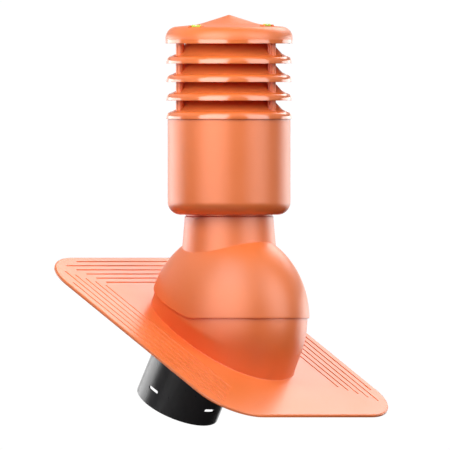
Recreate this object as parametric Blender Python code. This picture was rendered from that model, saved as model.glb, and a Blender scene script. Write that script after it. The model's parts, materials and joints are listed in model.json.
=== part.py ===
"""Roof ventilation chimney for a pitched roof, in metres, +Z up.

Downhill is -Y and the ridge runs along X. The origin is on the underside of the flashing plate, on
its middle line, in the middle of the flange below the collar. The plate lies at the roof's pitch, and
the dome turns on the collar about a level axis along X, so that the column above it stands upright.

Plate frame: x along the ridge, y uphill along the slope, z square to the roof.
Column frame: the swivel axis is x at height zero, and the column's own axis is z.
"""

import math

import bmesh
import bpy
from mathutils import Matrix, Vector

# Roof and flashing plate
ROOF_PITCH = math.radians(30.0)
PLATE_LENGTH = 0.550
PLATE_WIDTH = 0.440
PLATE_THICKNESS = 0.005
PLATE_CORNER_RADIUS = 0.087

# Lines moulded into the plate, in two sets of parallel grooves beside the sides and one uphill
LINE_COUNT = 6
LINE_WIDTH = 0.003
LINE_DEPTH = 0.0012
LINE_SPACING = 0.0144
FIRST_LINE_INSET = 0.0157
LINE_CORNER_GAP = 0.0190
LINE_CORNER_GAP_STEP = 0.0025

# Swivel between the dome and the collar
SWIVEL_HEIGHT = 0.0355
SWIVEL_DOWNHILL = math.radians(25.0)
SWIVEL_UPHILL = math.radians(5.0)
SWIVEL_CLEARANCE = 0.0010

# Swivel dome: a spheroid about the swivel axis, with a neck
DOME_RADIUS = 0.156
DOME_HALF_WIDTH = 0.122
DOME_WALL = 0.0025
SEAM_FOLD_SETBACK = 0.0185
SEAM_FOLD_LENGTH = 0.0120
SEAM_RISE = math.radians(22.0)
NECK_TOP_HEIGHT = 0.1777
NECK_TOP_RADIUS = 0.0773
NECK_TAPER = math.radians(4.8)
NECK_WALL = 0.003
NECK_EDGE_RADIUS = 0.0015

# Collar moulded on the plate
COLLAR_WALL = 0.003
COLLAR_FOOT_DOWNHILL = 0.1545
COLLAR_FOOT_SIDE = 0.105
COLLAR_FOOT_POWER = 2.3
COLLAR_FOOT_RELIEF = 0.0005
COLLAR_LAP_UPHILL = math.radians(2.5)
COLLAR_LAP_DOWNHILL = math.radians(11.0)

# Duct spigot below the plate
SPIGOT_RADIUS = 0.075
SPIGOT_WALL = 0.003
SPIGOT_DROP = 0.153
SPIGOT_SETBACK = 0.0355
SPIGOT_FLANGE_WIDTH = 0.010
SPIGOT_FLANGE_THICKNESS = 0.003
SLOT_COUNT = 4
SLOT_LENGTH = 0.020
SLOT_HEIGHT = 0.005
SLOT_ABOVE_END = 0.030

# Jacket
JACKET_RADIUS = 0.107
JACKET_WALL = 0.003
JACKET_HEIGHT = 0.1665
JACKET_CORNER_RADIUS = 0.0226
SHADOW_GAP = 0.003
SHADOW_GAP_INSET = 0.0015
SOCKET_LENGTH = 0.035

# Louvres: a rounded lip with a cone rising inward from its top
LIP_RADIUS = JACKET_RADIUS + 0.003
LIP_HEIGHT = 0.0136
LIP_ROUNDING = 0.0105
LIP_TOP_RISE = 0.003
CONE_FOOT_RADIUS = LIP_RADIUS - 0.017
CONE_TOP_RADIUS = CONE_FOOT_RADIUS - 0.0178
CONE_RISE = 0.019
LOUVRE_WALL = 0.0025
LOUVRE_PITCH = 0.03225
LOUVRE_RINGS = 3

# Posts between the jacket and the cap
POST_RADIUS = 0.0074
POST_PLACE_RADIUS = LIP_RADIUS - 0.0172
POST_TURNS = {
    "post_back": math.radians(38.0),
    "post_left": math.radians(158.0),
    "post_right": math.radians(278.0),
}

# Cap
CAP_GAP = 0.0213
CAP_BAND_HEIGHT = 0.007
CAP_BAND_STEP = 0.0005
CAP_RADIUS = LIP_RADIUS + 0.0015
CAP_SHOULDER_RADIUS = CAP_RADIUS - 0.0207
CAP_SHOULDER_HEIGHT = 0.0295
CAP_SHOULDER_SPRING = 0.0086
CAP_BRIM_SLOPE = 0.10
CAP_CONE_SLOPE = 0.32
CAP_APEX_HEIGHT = 0.0503
CAP_WALL = 0.003

# Spirit levels let into the brim: how far from the axis, turned how far round, and sunk how deep
LEVELS = {
    "left": (CAP_RADIUS - 0.0175, math.radians(-172.4), 0.0020),
    "right": (CAP_RADIUS - 0.0295, math.radians(-81.7), 0.0011),
}
VIAL_LENGTH = 0.022
VIAL_RADIUS = 0.0028
CRADLE_END = 0.002
CRADLE_RAMP = 0.003
CRADLE_SIDE = 0.0015
CRADLE_LUG = 0.001
CRADLE_FLOOR = 0.0015

# Fits and facets
FIT_GAP = 0.0003
TURNED_SEGMENTS = 28
DOME_SEGMENTS = 44
DOME_BANDS = 20
COLLAR_SEGMENTS = 40
COLLAR_BANDS = 4
ARC_STEPS = 4
ROUNDING_STEPS = 3
SMALL_SEGMENTS = 12
MERGE = 0.000001

# Heights in the column frame
JACKET_BOTTOM = NECK_TOP_HEIGHT + SHADOW_GAP
JACKET_LIP = JACKET_BOTTOM + JACKET_HEIGHT
TOP_RING_LIP = JACKET_LIP + LOUVRE_RINGS * LOUVRE_PITCH
CAP_RIM = TOP_RING_LIP + LIP_HEIGHT + CAP_GAP

# Places in the plate frame, measured from the middle of the plate's underside
MOUNT_PLACE = -(COLLAR_FOOT_DOWNHILL + PLATE_LENGTH / 2) / 2
SWIVEL_PLACE = Vector((0.0, 0.0, PLATE_THICKNESS + SWIVEL_HEIGHT))

# Turns a prism drawn in x and y so that its outline lies in y and z, and it runs along x
OUTLINE_IN_YZ = Matrix(((0, 0, 1, 0), (1, 0, 0, 0), (0, 1, 0, 0), (0, 0, 0, 1)))


def clear_scene():
    """Remove every object that the file opened with."""
    for old in list(bpy.data.objects):
        bpy.data.objects.remove(old, do_unlink=True)


def make_material(name, colour, roughness, metallic=0.0, alpha=1.0):
    """A Principled material with one colour, given in linear values."""
    material = bpy.data.materials.new(name)
    material.use_nodes = True
    shader = material.node_tree.nodes["Principled BSDF"]
    shader.inputs["Base Color"].default_value = (*colour, 1.0)
    shader.inputs["Roughness"].default_value = roughness
    shader.inputs["Metallic"].default_value = metallic
    shader.inputs["Alpha"].default_value = alpha
    material.diffuse_color = (*colour, alpha)
    return material


def solid_from(bm, name):
    """Turn a bmesh into a closed object with its faces pointing out."""
    bmesh.ops.remove_doubles(bm, verts=bm.verts, dist=MERGE)
    bmesh.ops.recalc_face_normals(bm, faces=bm.faces)
    mesh = bpy.data.meshes.new(name)
    bm.to_mesh(mesh)
    bm.free()
    solid = bpy.data.objects.new(name, mesh)
    bpy.context.collection.objects.link(solid)
    return solid


def turned(name, profile, segments=TURNED_SEGMENTS, closed=True):
    """Turn a profile of (radius, height) points about z. An open one starts and ends on the axis."""
    bm = bmesh.new()
    corners = [bm.verts.new((radius, 0.0, height)) for radius, height in profile]
    edges = [bm.edges.new(pair) for pair in zip(corners, corners[1:])]
    if closed:
        edges.append(bm.edges.new((corners[-1], corners[0])))
    bmesh.ops.spin(
        bm,
        geom=corners + edges,
        axis=(0.0, 0.0, 1.0),
        cent=(0.0, 0.0, 0.0),
        angle=math.tau,
        steps=segments,
        use_duplicate=False,
        use_merge=True,
    )
    return solid_from(bm, name)


def prism(name, outline, low, high):
    """A solid with a flat outline of (x, y) points, from height low to height high."""
    bm = bmesh.new()
    base = bm.faces.new([bm.verts.new((x, y, low)) for x, y in outline])
    top = bmesh.ops.extrude_face_region(bm, geom=[base])["geom"]
    lifted = [item for item in top if isinstance(item, bmesh.types.BMVert)]
    bmesh.ops.translate(bm, verts=lifted, vec=(0.0, 0.0, high - low))
    return solid_from(bm, name)


def spheroid(name, half_width, radius):
    """A spheroid about x, with its facets half a step off the level plane."""
    bm = bmesh.new()
    bmesh.ops.create_uvsphere(bm, u_segments=DOME_SEGMENTS, v_segments=DOME_BANDS, radius=1.0)
    half_step = Matrix.Rotation(math.pi / DOME_SEGMENTS, 4, "Z")
    poles_on_x = Matrix.Rotation(math.pi / 2, 4, "Y")
    stretch = Matrix.Diagonal((half_width, radius, radius, 1.0))
    bmesh.ops.transform(bm, matrix=stretch @ poles_on_x @ half_step, verts=bm.verts)
    return solid_from(bm, name)


def move(solid, matrix):
    """Move a solid's mesh, and leave its origin where it is."""
    solid.data.transform(matrix)
    return solid


def combine(solid, tool, operation):
    """Apply a Boolean with a closed tool to a solid, and remove the tool."""
    modifier = solid.modifiers.new("combine", "BOOLEAN")
    modifier.operation = operation
    modifier.solver = "EXACT"
    modifier.object = tool
    bpy.context.view_layer.update()
    graph = bpy.context.evaluated_depsgraph_get()
    mesh = bpy.data.meshes.new_from_object(solid.evaluated_get(graph))
    solid.modifiers.remove(modifier)
    solid.data = mesh
    bpy.data.objects.remove(tool, do_unlink=True)
    return solid


def cut(solid, tool):
    """Take a tool away from a solid."""
    return combine(solid, tool, "DIFFERENCE")


def join(solid, other):
    """Make two overlapping solids one."""
    return combine(solid, other, "UNION")


def dress(solid, material, parent, location=(0.0, 0.0, 0.0), smooth_below=math.radians(35.0)):
    """Give a finished solid its material, its parent and its place."""
    solid.data.materials.clear()
    solid.data.materials.append(material)
    solid.data.shade_smooth()
    solid.data.set_sharp_from_angle(angle=smooth_below)
    solid.parent = parent
    solid.location = location
    return solid


def make_empty(name, location, pitch=0.0):
    """An empty that carries a group of pieces."""
    empty = bpy.data.objects.new(name, None)
    bpy.context.collection.objects.link(empty)
    empty.location = location
    empty.rotation_euler = (pitch, 0.0, 0.0)
    return empty


def arc(centre, radii, start, end, steps=ARC_STEPS):
    """Points on an elliptical arc about a centre, with angles in degrees."""
    points = []
    for step in range(steps + 1):
        angle = math.radians(start + (end - start) * step / steps)
        points.append((centre[0] + radii[0] * math.cos(angle), centre[1] + radii[1] * math.sin(angle)))
    return points


def blend(start, corner, end, steps=ARC_STEPS):
    """Points on a curve from start to end that bends towards a corner."""
    points = []
    for step in range(steps + 1):
        t = step / steps
        weights = ((1 - t) ** 2, 2 * t * (1 - t), t**2)
        points.append(
            tuple(sum(w * p[axis] for w, p in zip(weights, (start, corner, end))) for axis in (0, 1))
        )
    return points


def offset_line(points, distance):
    """A line beside a line of points: to its left for a positive distance, with mitred corners."""
    directions = [
        Vector((b[0] - a[0], b[1] - a[1])).normalized() for a, b in zip(points, points[1:])
    ]
    moved = []
    for index, point in enumerate(points):
        before = directions[max(index - 1, 0)]
        after = directions[min(index, len(directions) - 1)]
        normal = Vector((-before.y - after.y, before.x + after.x)).normalized()
        reach = distance / normal.dot(Vector((-after.y, after.x)))
        moved.append((point[0] + normal.x * reach, point[1] + normal.y * reach))
    return moved


def upto_radius(points, radius):
    """The part of a line that runs inward from a radius, with a new first point on it."""
    for index, (outer, inner) in enumerate(zip(points, points[1:])):
        if inner[0] < radius <= outer[0]:
            share = (outer[0] - radius) / (outer[0] - inner[0])
            return [(radius, outer[1] + (inner[1] - outer[1]) * share)] + points[index + 1 :]
    return points


def plate_outline():
    """The plate's outline, a rectangle with round corners."""
    reach_x = PLATE_WIDTH / 2 - PLATE_CORNER_RADIUS
    reach_y = PLATE_LENGTH / 2 - PLATE_CORNER_RADIUS
    radii = (PLATE_CORNER_RADIUS, PLATE_CORNER_RADIUS)
    outline = []
    for side_x, side_y, start in ((1, 1, 0), (-1, 1, 90), (-1, -1, 180), (1, -1, 270)):
        outline += arc((side_x * reach_x, side_y * reach_y), radii, start, start + 90)
    return outline


def corner_distance(inset):
    """How far round the corner's arc a line at an inset starts from the plate's edge beside it."""
    across = PLATE_CORNER_RADIUS - inset
    if across <= 0:
        return 0.0
    return PLATE_CORNER_RADIUS - math.sqrt(PLATE_CORNER_RADIUS**2 - across**2)


def line_boxes():
    """Low and high corners of each moulded line, as (x, y) pairs in the plate frame."""
    boxes = []
    half = LINE_WIDTH / 2
    for number in range(LINE_COUNT):
        inset = FIRST_LINE_INSET + number * LINE_SPACING
        gap = LINE_CORNER_GAP - number * LINE_CORNER_GAP_STEP
        end = max(inset + gap, corner_distance(inset - half) + FIRST_LINE_INSET)
        across = PLATE_WIDTH / 2 - end
        along = PLATE_LENGTH / 2 - end
        uphill = PLATE_LENGTH / 2 - inset
        boxes.append(((-across, uphill - half), (across, uphill + half)))
        for side in (-1, 1):
            beside = side * (PLATE_WIDTH / 2 - inset)
            boxes.append(((beside - half, -along), (beside + half, along)))
    return boxes


def line_cutter():
    """One tool with a bar for each moulded line, standing proud of the plate."""
    bm = bmesh.new()
    for low, high in line_boxes():
        bar = bmesh.ops.create_cube(bm, size=1.0)["verts"]
        size = (high[0] - low[0], high[1] - low[1], 2 * LINE_DEPTH)
        centre = ((low[0] + high[0]) / 2, (low[1] + high[1]) / 2, PLATE_THICKNESS)
        bmesh.ops.scale(bm, vec=size, verts=bar)
        bmesh.ops.translate(bm, vec=centre, verts=bar)
    return solid_from(bm, "line_cutter")


def seam_uphill_angle():
    """The angle of the dome's uphill rim about the swivel axis, from the downhill level."""
    # The inclined stretch is a line at SEAM_RISE that passes the axis at this distance
    distance = SEAM_FOLD_SETBACK * math.sin(SEAM_RISE)
    return math.pi - SEAM_RISE - math.asin(distance / DOME_RADIUS)


def superellipse(half_x, half_y, power, angle):
    """A point on a superellipse, a circle's angle round it."""
    cosine, sine = math.cos(angle), math.sin(angle)
    return (
        half_x * math.copysign(abs(cosine) ** (2 / power), cosine),
        half_y * math.copysign(abs(sine) ** (2 / power), sine),
    )


def collar_rings(inset):
    """Rings of points from the collar's foot up to its rim, a given inset inside its outer skin."""
    half_width = DOME_HALF_WIDTH - DOME_WALL - SWIVEL_CLEARANCE
    radius = DOME_RADIUS - DOME_WALL - SWIVEL_CLEARANCE
    foot_uphill = math.sqrt(radius**2 - SWIVEL_HEIGHT**2) - COLLAR_FOOT_RELIEF - inset
    # The rim is one plane through a downhill and an uphill angle above the plate
    downhill = ROOF_PITCH + SWIVEL_UPHILL + COLLAR_LAP_DOWNHILL
    uphill = math.pi - ROOF_PITCH - seam_uphill_angle() + SWIVEL_DOWNHILL + COLLAR_LAP_UPHILL
    low, high = -radius * math.cos(downhill), radius * math.cos(uphill)
    slope = radius * (math.sin(uphill) - math.sin(downhill)) / (high - low)
    middle = radius * math.sin(uphill) - slope * high
    angles = [math.tau * (step + 0.5) / COLLAR_SEGMENTS for step in range(COLLAR_SEGMENTS)]
    foot = []
    for angle in angles:
        half_length = foot_uphill if math.sin(angle) > 0 else COLLAR_FOOT_DOWNHILL - inset
        x, y = superellipse(COLLAR_FOOT_SIDE - inset, half_length, COLLAR_FOOT_POWER, angle)
        foot.append((x, y))
    rings = [
        [(x, y, -SWIVEL_HEIGHT - PLATE_THICKNESS / 2) for x, y in foot],
        [(x, y, -SWIVEL_HEIGHT) for x, y in foot],
    ]
    for band in range(COLLAR_BANDS + 1):
        ring = []
        for angle in angles:
            lean = slope * math.sin(angle)
            skin = radius - inset
            top = math.atan(lean) + math.asin(middle / (skin * math.hypot(1.0, lean)))
            rise = top * band / COLLAR_BANDS
            ring.append(
                (
                    (half_width - inset) * math.cos(angle) * math.cos(rise),
                    skin * math.sin(angle) * math.cos(rise),
                    skin * math.sin(rise),
                )
            )
        rings.append(ring)
    return rings


def collar_shell():
    """The collar as a closed shell, in the plate frame about the swivel axis."""
    bm = bmesh.new()
    rings = collar_rings(0.0) + collar_rings(COLLAR_WALL)[::-1]
    loops = [[bm.verts.new(point) for point in ring] for ring in rings]
    for lower, upper in zip(loops, loops[1:] + loops[:1]):
        for index in range(COLLAR_SEGMENTS):
            following = (index + 1) % COLLAR_SEGMENTS
            bm.faces.new((lower[index], lower[following], upper[following], upper[index]))
    return solid_from(bm, "collar_shell")


def build_flashing(material, roof_plane):
    """The plate with its moulded lines, the collar and the hole for the spigot, as one moulding."""
    flashing = prism("flashing", plate_outline(), 0.0, PLATE_THICKNESS)
    join(flashing, move(collar_shell(), Matrix.Translation(SWIVEL_PLACE)))
    hole_radius = SPIGOT_RADIUS + FIT_GAP
    hole = turned(
        "spigot_hole",
        [
            (0.0, -PLATE_THICKNESS),
            (hole_radius, -PLATE_THICKNESS),
            (hole_radius, 2 * PLATE_THICKNESS),
            (0.0, 2 * PLATE_THICKNESS),
        ],
        closed=False,
    )
    cut(flashing, move(hole, Matrix.Translation((0.0, SPIGOT_SETBACK, 0.0))))
    cut(flashing, line_cutter())
    return dress(flashing, material, roof_plane, (0.0, -MOUNT_PLACE, 0.0))


def slot_cutter():
    """A bar with round ends, lying along x and running out along -y."""
    radius = SLOT_HEIGHT / 2
    reach = SLOT_LENGTH / 2 - radius
    outline = arc((reach, 0.0), (radius, radius), -90, 90) + arc((-reach, 0.0), (radius, radius), 90, 270)
    bar = prism("slot_cutter", outline, SPIGOT_RADIUS - 3 * SPIGOT_WALL, SPIGOT_RADIUS + SPIGOT_WALL)
    return move(bar, Matrix.Rotation(math.pi / 2, 4, "X"))


def build_spigot(material, roof_plane):
    """The black duct spigot: a pipe with a seating flange on top and slots near its end."""
    bore = SPIGOT_RADIUS - SPIGOT_WALL
    seat = PLATE_THICKNESS + FIT_GAP
    top = seat + SPIGOT_FLANGE_THICKNESS
    flange = SPIGOT_RADIUS + SPIGOT_FLANGE_WIDTH
    spigot = turned(
        "duct_spigot",
        [
            (bore, -SPIGOT_DROP),
            (SPIGOT_RADIUS, -SPIGOT_DROP),
            (SPIGOT_RADIUS, seat),
            (flange, seat),
            (flange, top),
            (bore, top),
        ],
    )
    for number in range(SLOT_COUNT):
        slot = move(slot_cutter(), Matrix.Translation((0.0, 0.0, SLOT_ABOVE_END - SPIGOT_DROP)))
        cut(spigot, move(slot, Matrix.Rotation(math.tau * number / SLOT_COUNT, 4, "Z")))
    return dress(spigot, material, roof_plane, (0.0, SPIGOT_SETBACK - MOUNT_PLACE, 0.0))


def neck_radius(height):
    """The neck's outer radius at a height in the column frame."""
    return NECK_TOP_RADIUS + (NECK_TOP_HEIGHT - height) * math.tan(NECK_TAPER)


def neck_solid(inset, top, foot):
    """The neck's cone, a given inset inside its outer skin, from a foot inside the dome to its top."""
    edge = NECK_EDGE_RADIUS if inset == 0.0 else 0.0
    side = [(neck_radius(height) - inset, height) for height in (foot, top - edge)]
    rim = arc((side[1][0] - edge, top - edge), (edge, edge), 0, 90, ROUNDING_STEPS)[1:] if edge else []
    return turned("neck", [(0.0, foot)] + side + rim + [(0.0, top)], closed=False)


def seam_cutter():
    """Everything below the dome's rim: level downhill, a round fold, then rising uphill."""
    reach = 2 * DOME_RADIUS
    corner = (-SEAM_FOLD_SETBACK, 0.0)
    fold_start = (corner[0] - SEAM_FOLD_LENGTH, 0.0)
    fold_end = (
        corner[0] + SEAM_FOLD_LENGTH * math.cos(SEAM_RISE),
        SEAM_FOLD_LENGTH * math.sin(SEAM_RISE),
    )
    outline = [(-reach, -reach), (-reach, 0.0)] + blend(fold_start, corner, fold_end)
    outline += [(reach, (reach - corner[0]) * math.tan(SEAM_RISE)), (reach, -reach)]
    wedge = prism("seam_cutter", outline, -2 * DOME_HALF_WIDTH, 2 * DOME_HALF_WIDTH)
    return move(wedge, OUTLINE_IN_YZ)


def build_dome(material, column):
    """The swivel dome: a hollow spheroid cut off at its seam, with its neck."""
    neck_foot = math.sqrt(DOME_RADIUS**2 - neck_radius(DOME_RADIUS) ** 2) / 2
    dome = spheroid("swivel_dome", DOME_HALF_WIDTH, DOME_RADIUS)
    join(dome, neck_solid(0.0, NECK_TOP_HEIGHT, neck_foot))
    cut(dome, spheroid("dome_space", DOME_HALF_WIDTH - DOME_WALL, DOME_RADIUS - DOME_WALL))
    cut(dome, neck_solid(NECK_WALL, NECK_TOP_HEIGHT + NECK_WALL, neck_foot))
    cut(dome, seam_cutter())
    return dress(dome, material, column)


def lip_profile(lip):
    """A louvre's upper side from the foot of its lip, at a given height, to the top of its cone."""
    spring = lip + LIP_HEIGHT - LIP_ROUNDING
    radii = (LIP_ROUNDING, LIP_ROUNDING)
    rounding = arc((LIP_RADIUS - LIP_ROUNDING, spring), radii, 0, 90, ROUNDING_STEPS)
    seam = lip + LIP_HEIGHT + LIP_TOP_RISE
    return (
        [(LIP_RADIUS, lip)]
        + rounding
        + [(CONE_FOOT_RADIUS, seam), (CONE_TOP_RADIUS, seam + CONE_RISE)]
    )


def build_jacket(material, column):
    """The jacket: a hollow can with a socket below and its own louvre on top."""
    outer_socket = neck_radius(NECK_TOP_HEIGHT) - NECK_WALL - FIT_GAP
    inner_socket = outer_socket - JACKET_WALL
    shoulder = NECK_TOP_RADIUS - SHADOW_GAP_INSET
    socket_end = NECK_TOP_HEIGHT - SOCKET_LENGTH
    seat = NECK_TOP_HEIGHT + FIT_GAP
    spring = JACKET_BOTTOM + JACKET_CORNER_RADIUS
    centre = (JACKET_RADIUS - JACKET_CORNER_RADIUS, spring)
    inner_corner = JACKET_CORNER_RADIUS - JACKET_WALL
    outside = [(outer_socket, socket_end), (outer_socket, seat), (shoulder, seat), (shoulder, JACKET_BOTTOM)]
    outside += arc(centre, (JACKET_CORNER_RADIUS, JACKET_CORNER_RADIUS), -90, 0)
    outside += [(JACKET_RADIUS, JACKET_LIP)] + lip_profile(JACKET_LIP)
    inner_wall = JACKET_RADIUS - JACKET_WALL
    inside = upto_radius(offset_line(lip_profile(JACKET_LIP), LOUVRE_WALL), inner_wall)[::-1]
    inside += arc(centre, (inner_corner, inner_corner), 0, -90)
    inside += [(inner_socket, JACKET_BOTTOM + JACKET_WALL), (inner_socket, socket_end)]
    return dress(turned("jacket", outside + inside), material, column)


def place_round(turn, radius, height):
    """A frame at a turn round the column, with x outward and y along the rim."""
    return Matrix.Rotation(turn, 4, "Z") @ Matrix.Translation((radius, 0.0, height))


def post_bar(name, turn, radius, low, high):
    """A round bar that stands at a turn round the column."""
    outline = [
        (radius * math.cos(angle), radius * math.sin(angle))
        for angle in (math.tau * step / SMALL_SEGMENTS for step in range(SMALL_SEGMENTS))
    ]
    return move(prism(name, outline, low, high), place_round(turn, POST_PLACE_RADIUS, 0.0))


def build_louvre_ring(number, material, column):
    """One louvre ring, with holes for the posts."""
    lip = JACKET_LIP + number * LOUVRE_PITCH
    outside = lip_profile(lip)
    ring = turned(f"louvre_ring_{number}", outside + offset_line(outside, LOUVRE_WALL)[::-1])
    for turn in POST_TURNS.values():
        cut(ring, post_bar("post_hole", turn, POST_RADIUS + FIT_GAP, lip, lip + LOUVRE_PITCH))
    return dress(ring, material, column)


def cap_profile():
    """The cap's upper side, from its apex out to the foot of its rim."""
    apex = CAP_RIM + CAP_APEX_HEIGHT
    shoulder = CAP_RIM + CAP_SHOULDER_HEIGHT
    # The cone and the brim meet at this radius, and a curve of the same reach each way joins them
    level = shoulder + CAP_BRIM_SLOPE * CAP_SHOULDER_RADIUS
    meet = (apex - level) / (CAP_CONE_SLOPE - CAP_BRIM_SLOPE)
    reach = min(meet, CAP_SHOULDER_RADIUS - meet) / 3
    bend = blend(
        (meet - reach, apex - CAP_CONE_SLOPE * (meet - reach)),
        (meet, apex - CAP_CONE_SLOPE * meet),
        (meet + reach, level - CAP_BRIM_SLOPE * (meet + reach)),
        ROUNDING_STEPS,
    )
    spring = CAP_RIM + CAP_SHOULDER_SPRING
    radii = (CAP_RADIUS - CAP_BAND_STEP - CAP_SHOULDER_RADIUS, shoulder - spring)
    rounding = arc((CAP_SHOULDER_RADIUS, spring), radii, 90, 0)
    band = CAP_RIM + CAP_BAND_HEIGHT
    rim = [(CAP_RADIUS - CAP_BAND_STEP, band), (CAP_RADIUS, band), (CAP_RADIUS, CAP_RIM)]
    return [(0.0, apex)] + bend + rounding + rim


def cap_underside():
    """The cap's lower side, from the foot of its rim in to its middle."""
    plain = [point for point in cap_profile() if point[0] < CAP_RADIUS]
    plain = plain[:-1] + [(CAP_RADIUS - CAP_BAND_STEP, CAP_RIM)]
    inner = offset_line(plain, -CAP_WALL)
    inner[0] = (0.0, plain[0][1] - CAP_WALL)
    return inner[::-1]


def cap_height(radius):
    """The height of the cap's upper side at a radius."""
    for inner, outer in zip(cap_profile(), cap_profile()[1:]):
        if inner[0] <= radius < outer[0]:
            share = (radius - inner[0]) / (outer[0] - inner[0])
            return inner[1] + (outer[1] - inner[1]) * share
    return CAP_RIM


def level_frame(side):
    """A vial's own frame: x outward, y along the vial, and its middle at the origin."""
    radius, turn, sink = LEVELS[side]
    return place_round(turn, radius, cap_height(radius) + VIAL_RADIUS - sink)


def vial_solid(name, radius, length):
    """A round tube with round ends, along y."""
    end = arc((0.0, length / 2 - radius), (radius, radius), 0, 90, ROUNDING_STEPS)
    start = arc((0.0, radius - length / 2), (radius, radius), -90, 0, ROUNDING_STEPS)
    line = [(0.0, start[0][1])] + start[1:] + end[:-1] + [(0.0, end[-1][1])]
    tube = turned(name, line, SMALL_SEGMENTS, closed=False)
    return move(tube, Matrix.Rotation(-math.pi / 2, 4, "X"))


def cradle_outline(grow=0.0):
    """The side of a cradle, seen across the vial: two ramped lugs with a sill between them."""
    reach = VIAL_LENGTH / 2 + FIT_GAP
    lug_end = reach + CRADLE_END
    ramp_end = lug_end + CRADLE_RAMP + grow
    foot = -VIAL_RADIUS - FIT_GAP - CRADLE_FLOOR - grow
    if grow:
        return [(-ramp_end, foot), (ramp_end, foot), (ramp_end, VIAL_RADIUS), (-ramp_end, VIAL_RADIUS)]
    half = [(ramp_end, foot), (lug_end, CRADLE_LUG), (reach, CRADLE_LUG), (reach, -CRADLE_LUG)]
    return half + [(-y, z) for y, z in half[::-1]]


def cradle_solid(name, grow=0.0):
    """A cradle, or with a growth, a plain block round it."""
    half_width = VIAL_RADIUS + FIT_GAP + CRADLE_SIDE + grow
    bar = prism(name, cradle_outline(grow), -half_width, half_width)
    return move(bar, OUTLINE_IN_YZ)


def build_cap(material, column):
    """The cap: a shallow cone with a brim and a turned-down rim, open below, with the vials' cradles."""
    cap = turned("cap", cap_profile() + cap_underside(), closed=False)
    for side in LEVELS:
        frame = level_frame(side)
        trough = vial_solid("trough", VIAL_RADIUS + FIT_GAP, VIAL_LENGTH + 2 * FIT_GAP)
        join(cap, move(cradle_solid("cradle"), frame))
        cut(cap, move(trough, frame))
    return dress(cap, material, column)


def build_post(name, turn, material, column):
    """A post, from the jacket's top to the underside of the cap, fitted to both."""
    post = post_bar(name, turn, POST_RADIUS, JACKET_LIP, CAP_RIM + CAP_APEX_HEIGHT)
    deck = offset_line(lip_profile(JACKET_LIP), -FIT_GAP)
    low = JACKET_LIP - LIP_HEIGHT
    below = turned("below_deck", [(deck[-1][0], low), (deck[0][0], low)] + deck)
    ceiling = offset_line(cap_underside(), FIT_GAP)
    ceiling[-1] = (0.0, ceiling[-1][1])
    high = CAP_RIM + 2 * CAP_APEX_HEIGHT
    outer = [(0.0, high), (CAP_RADIUS, high), (CAP_RADIUS, CAP_RIM)]
    above = turned("above_ceiling", outer + ceiling, closed=False)
    cut(post, below)
    cut(post, above)
    for side in LEVELS:
        cut(post, move(cradle_solid("cradle_space", FIT_GAP), level_frame(side)))
    return dress(post, material, column)


def build_level(side, material, column):
    """The vial of a spirit level, lying in its cradle on the brim."""
    vial = move(vial_solid(f"level_vial_{side}", VIAL_RADIUS, VIAL_LENGTH), level_frame(side))
    return dress(vial, material, column)


def main():
    """Build the whole chimney."""
    clear_scene()
    terracotta = make_material("terracotta_plastic", (0.93, 0.27, 0.10), 0.42)
    black = make_material("black_plastic", (0.018, 0.018, 0.020), 0.35)
    vial = make_material("vial", (0.62, 0.85, 0.10), 0.10, alpha=0.7)
    roof_plane = make_empty("roof_plane", (0.0, 0.0, 0.0), ROOF_PITCH)
    swivel = Matrix.Rotation(ROOF_PITCH, 4, "X") @ (SWIVEL_PLACE - Vector((0.0, MOUNT_PLACE, 0.0)))
    column = make_empty("column", swivel)
    build_flashing(terracotta, roof_plane)
    build_spigot(black, roof_plane)
    build_dome(terracotta, column)
    build_jacket(terracotta, column)
    for number in range(1, LOUVRE_RINGS + 1):
        build_louvre_ring(number, terracotta, column)
    build_cap(terracotta, column)
    for name, turn in POST_TURNS.items():
        build_post(name, turn, terracotta, column)
    for side in LEVELS:
        build_level(side, vial, column)


main()
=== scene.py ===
"""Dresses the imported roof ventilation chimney, in metres, +Z up, -Y downhill.

Each sub-assembly is a class that holds its sizes and builds its own pieces. The plate and the spigot are
drawn in the plate's frame, which lies at the roof's pitch, and everything above the swivel in the
column's frame, which has the swivel axis as x and the column's own axis as z.
"""

import json
import logging
import math
from dataclasses import dataclass
from enum import Enum
from typing import Any, Sequence

import bmesh
import bpy
from mathutils import Matrix, Vector

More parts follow.
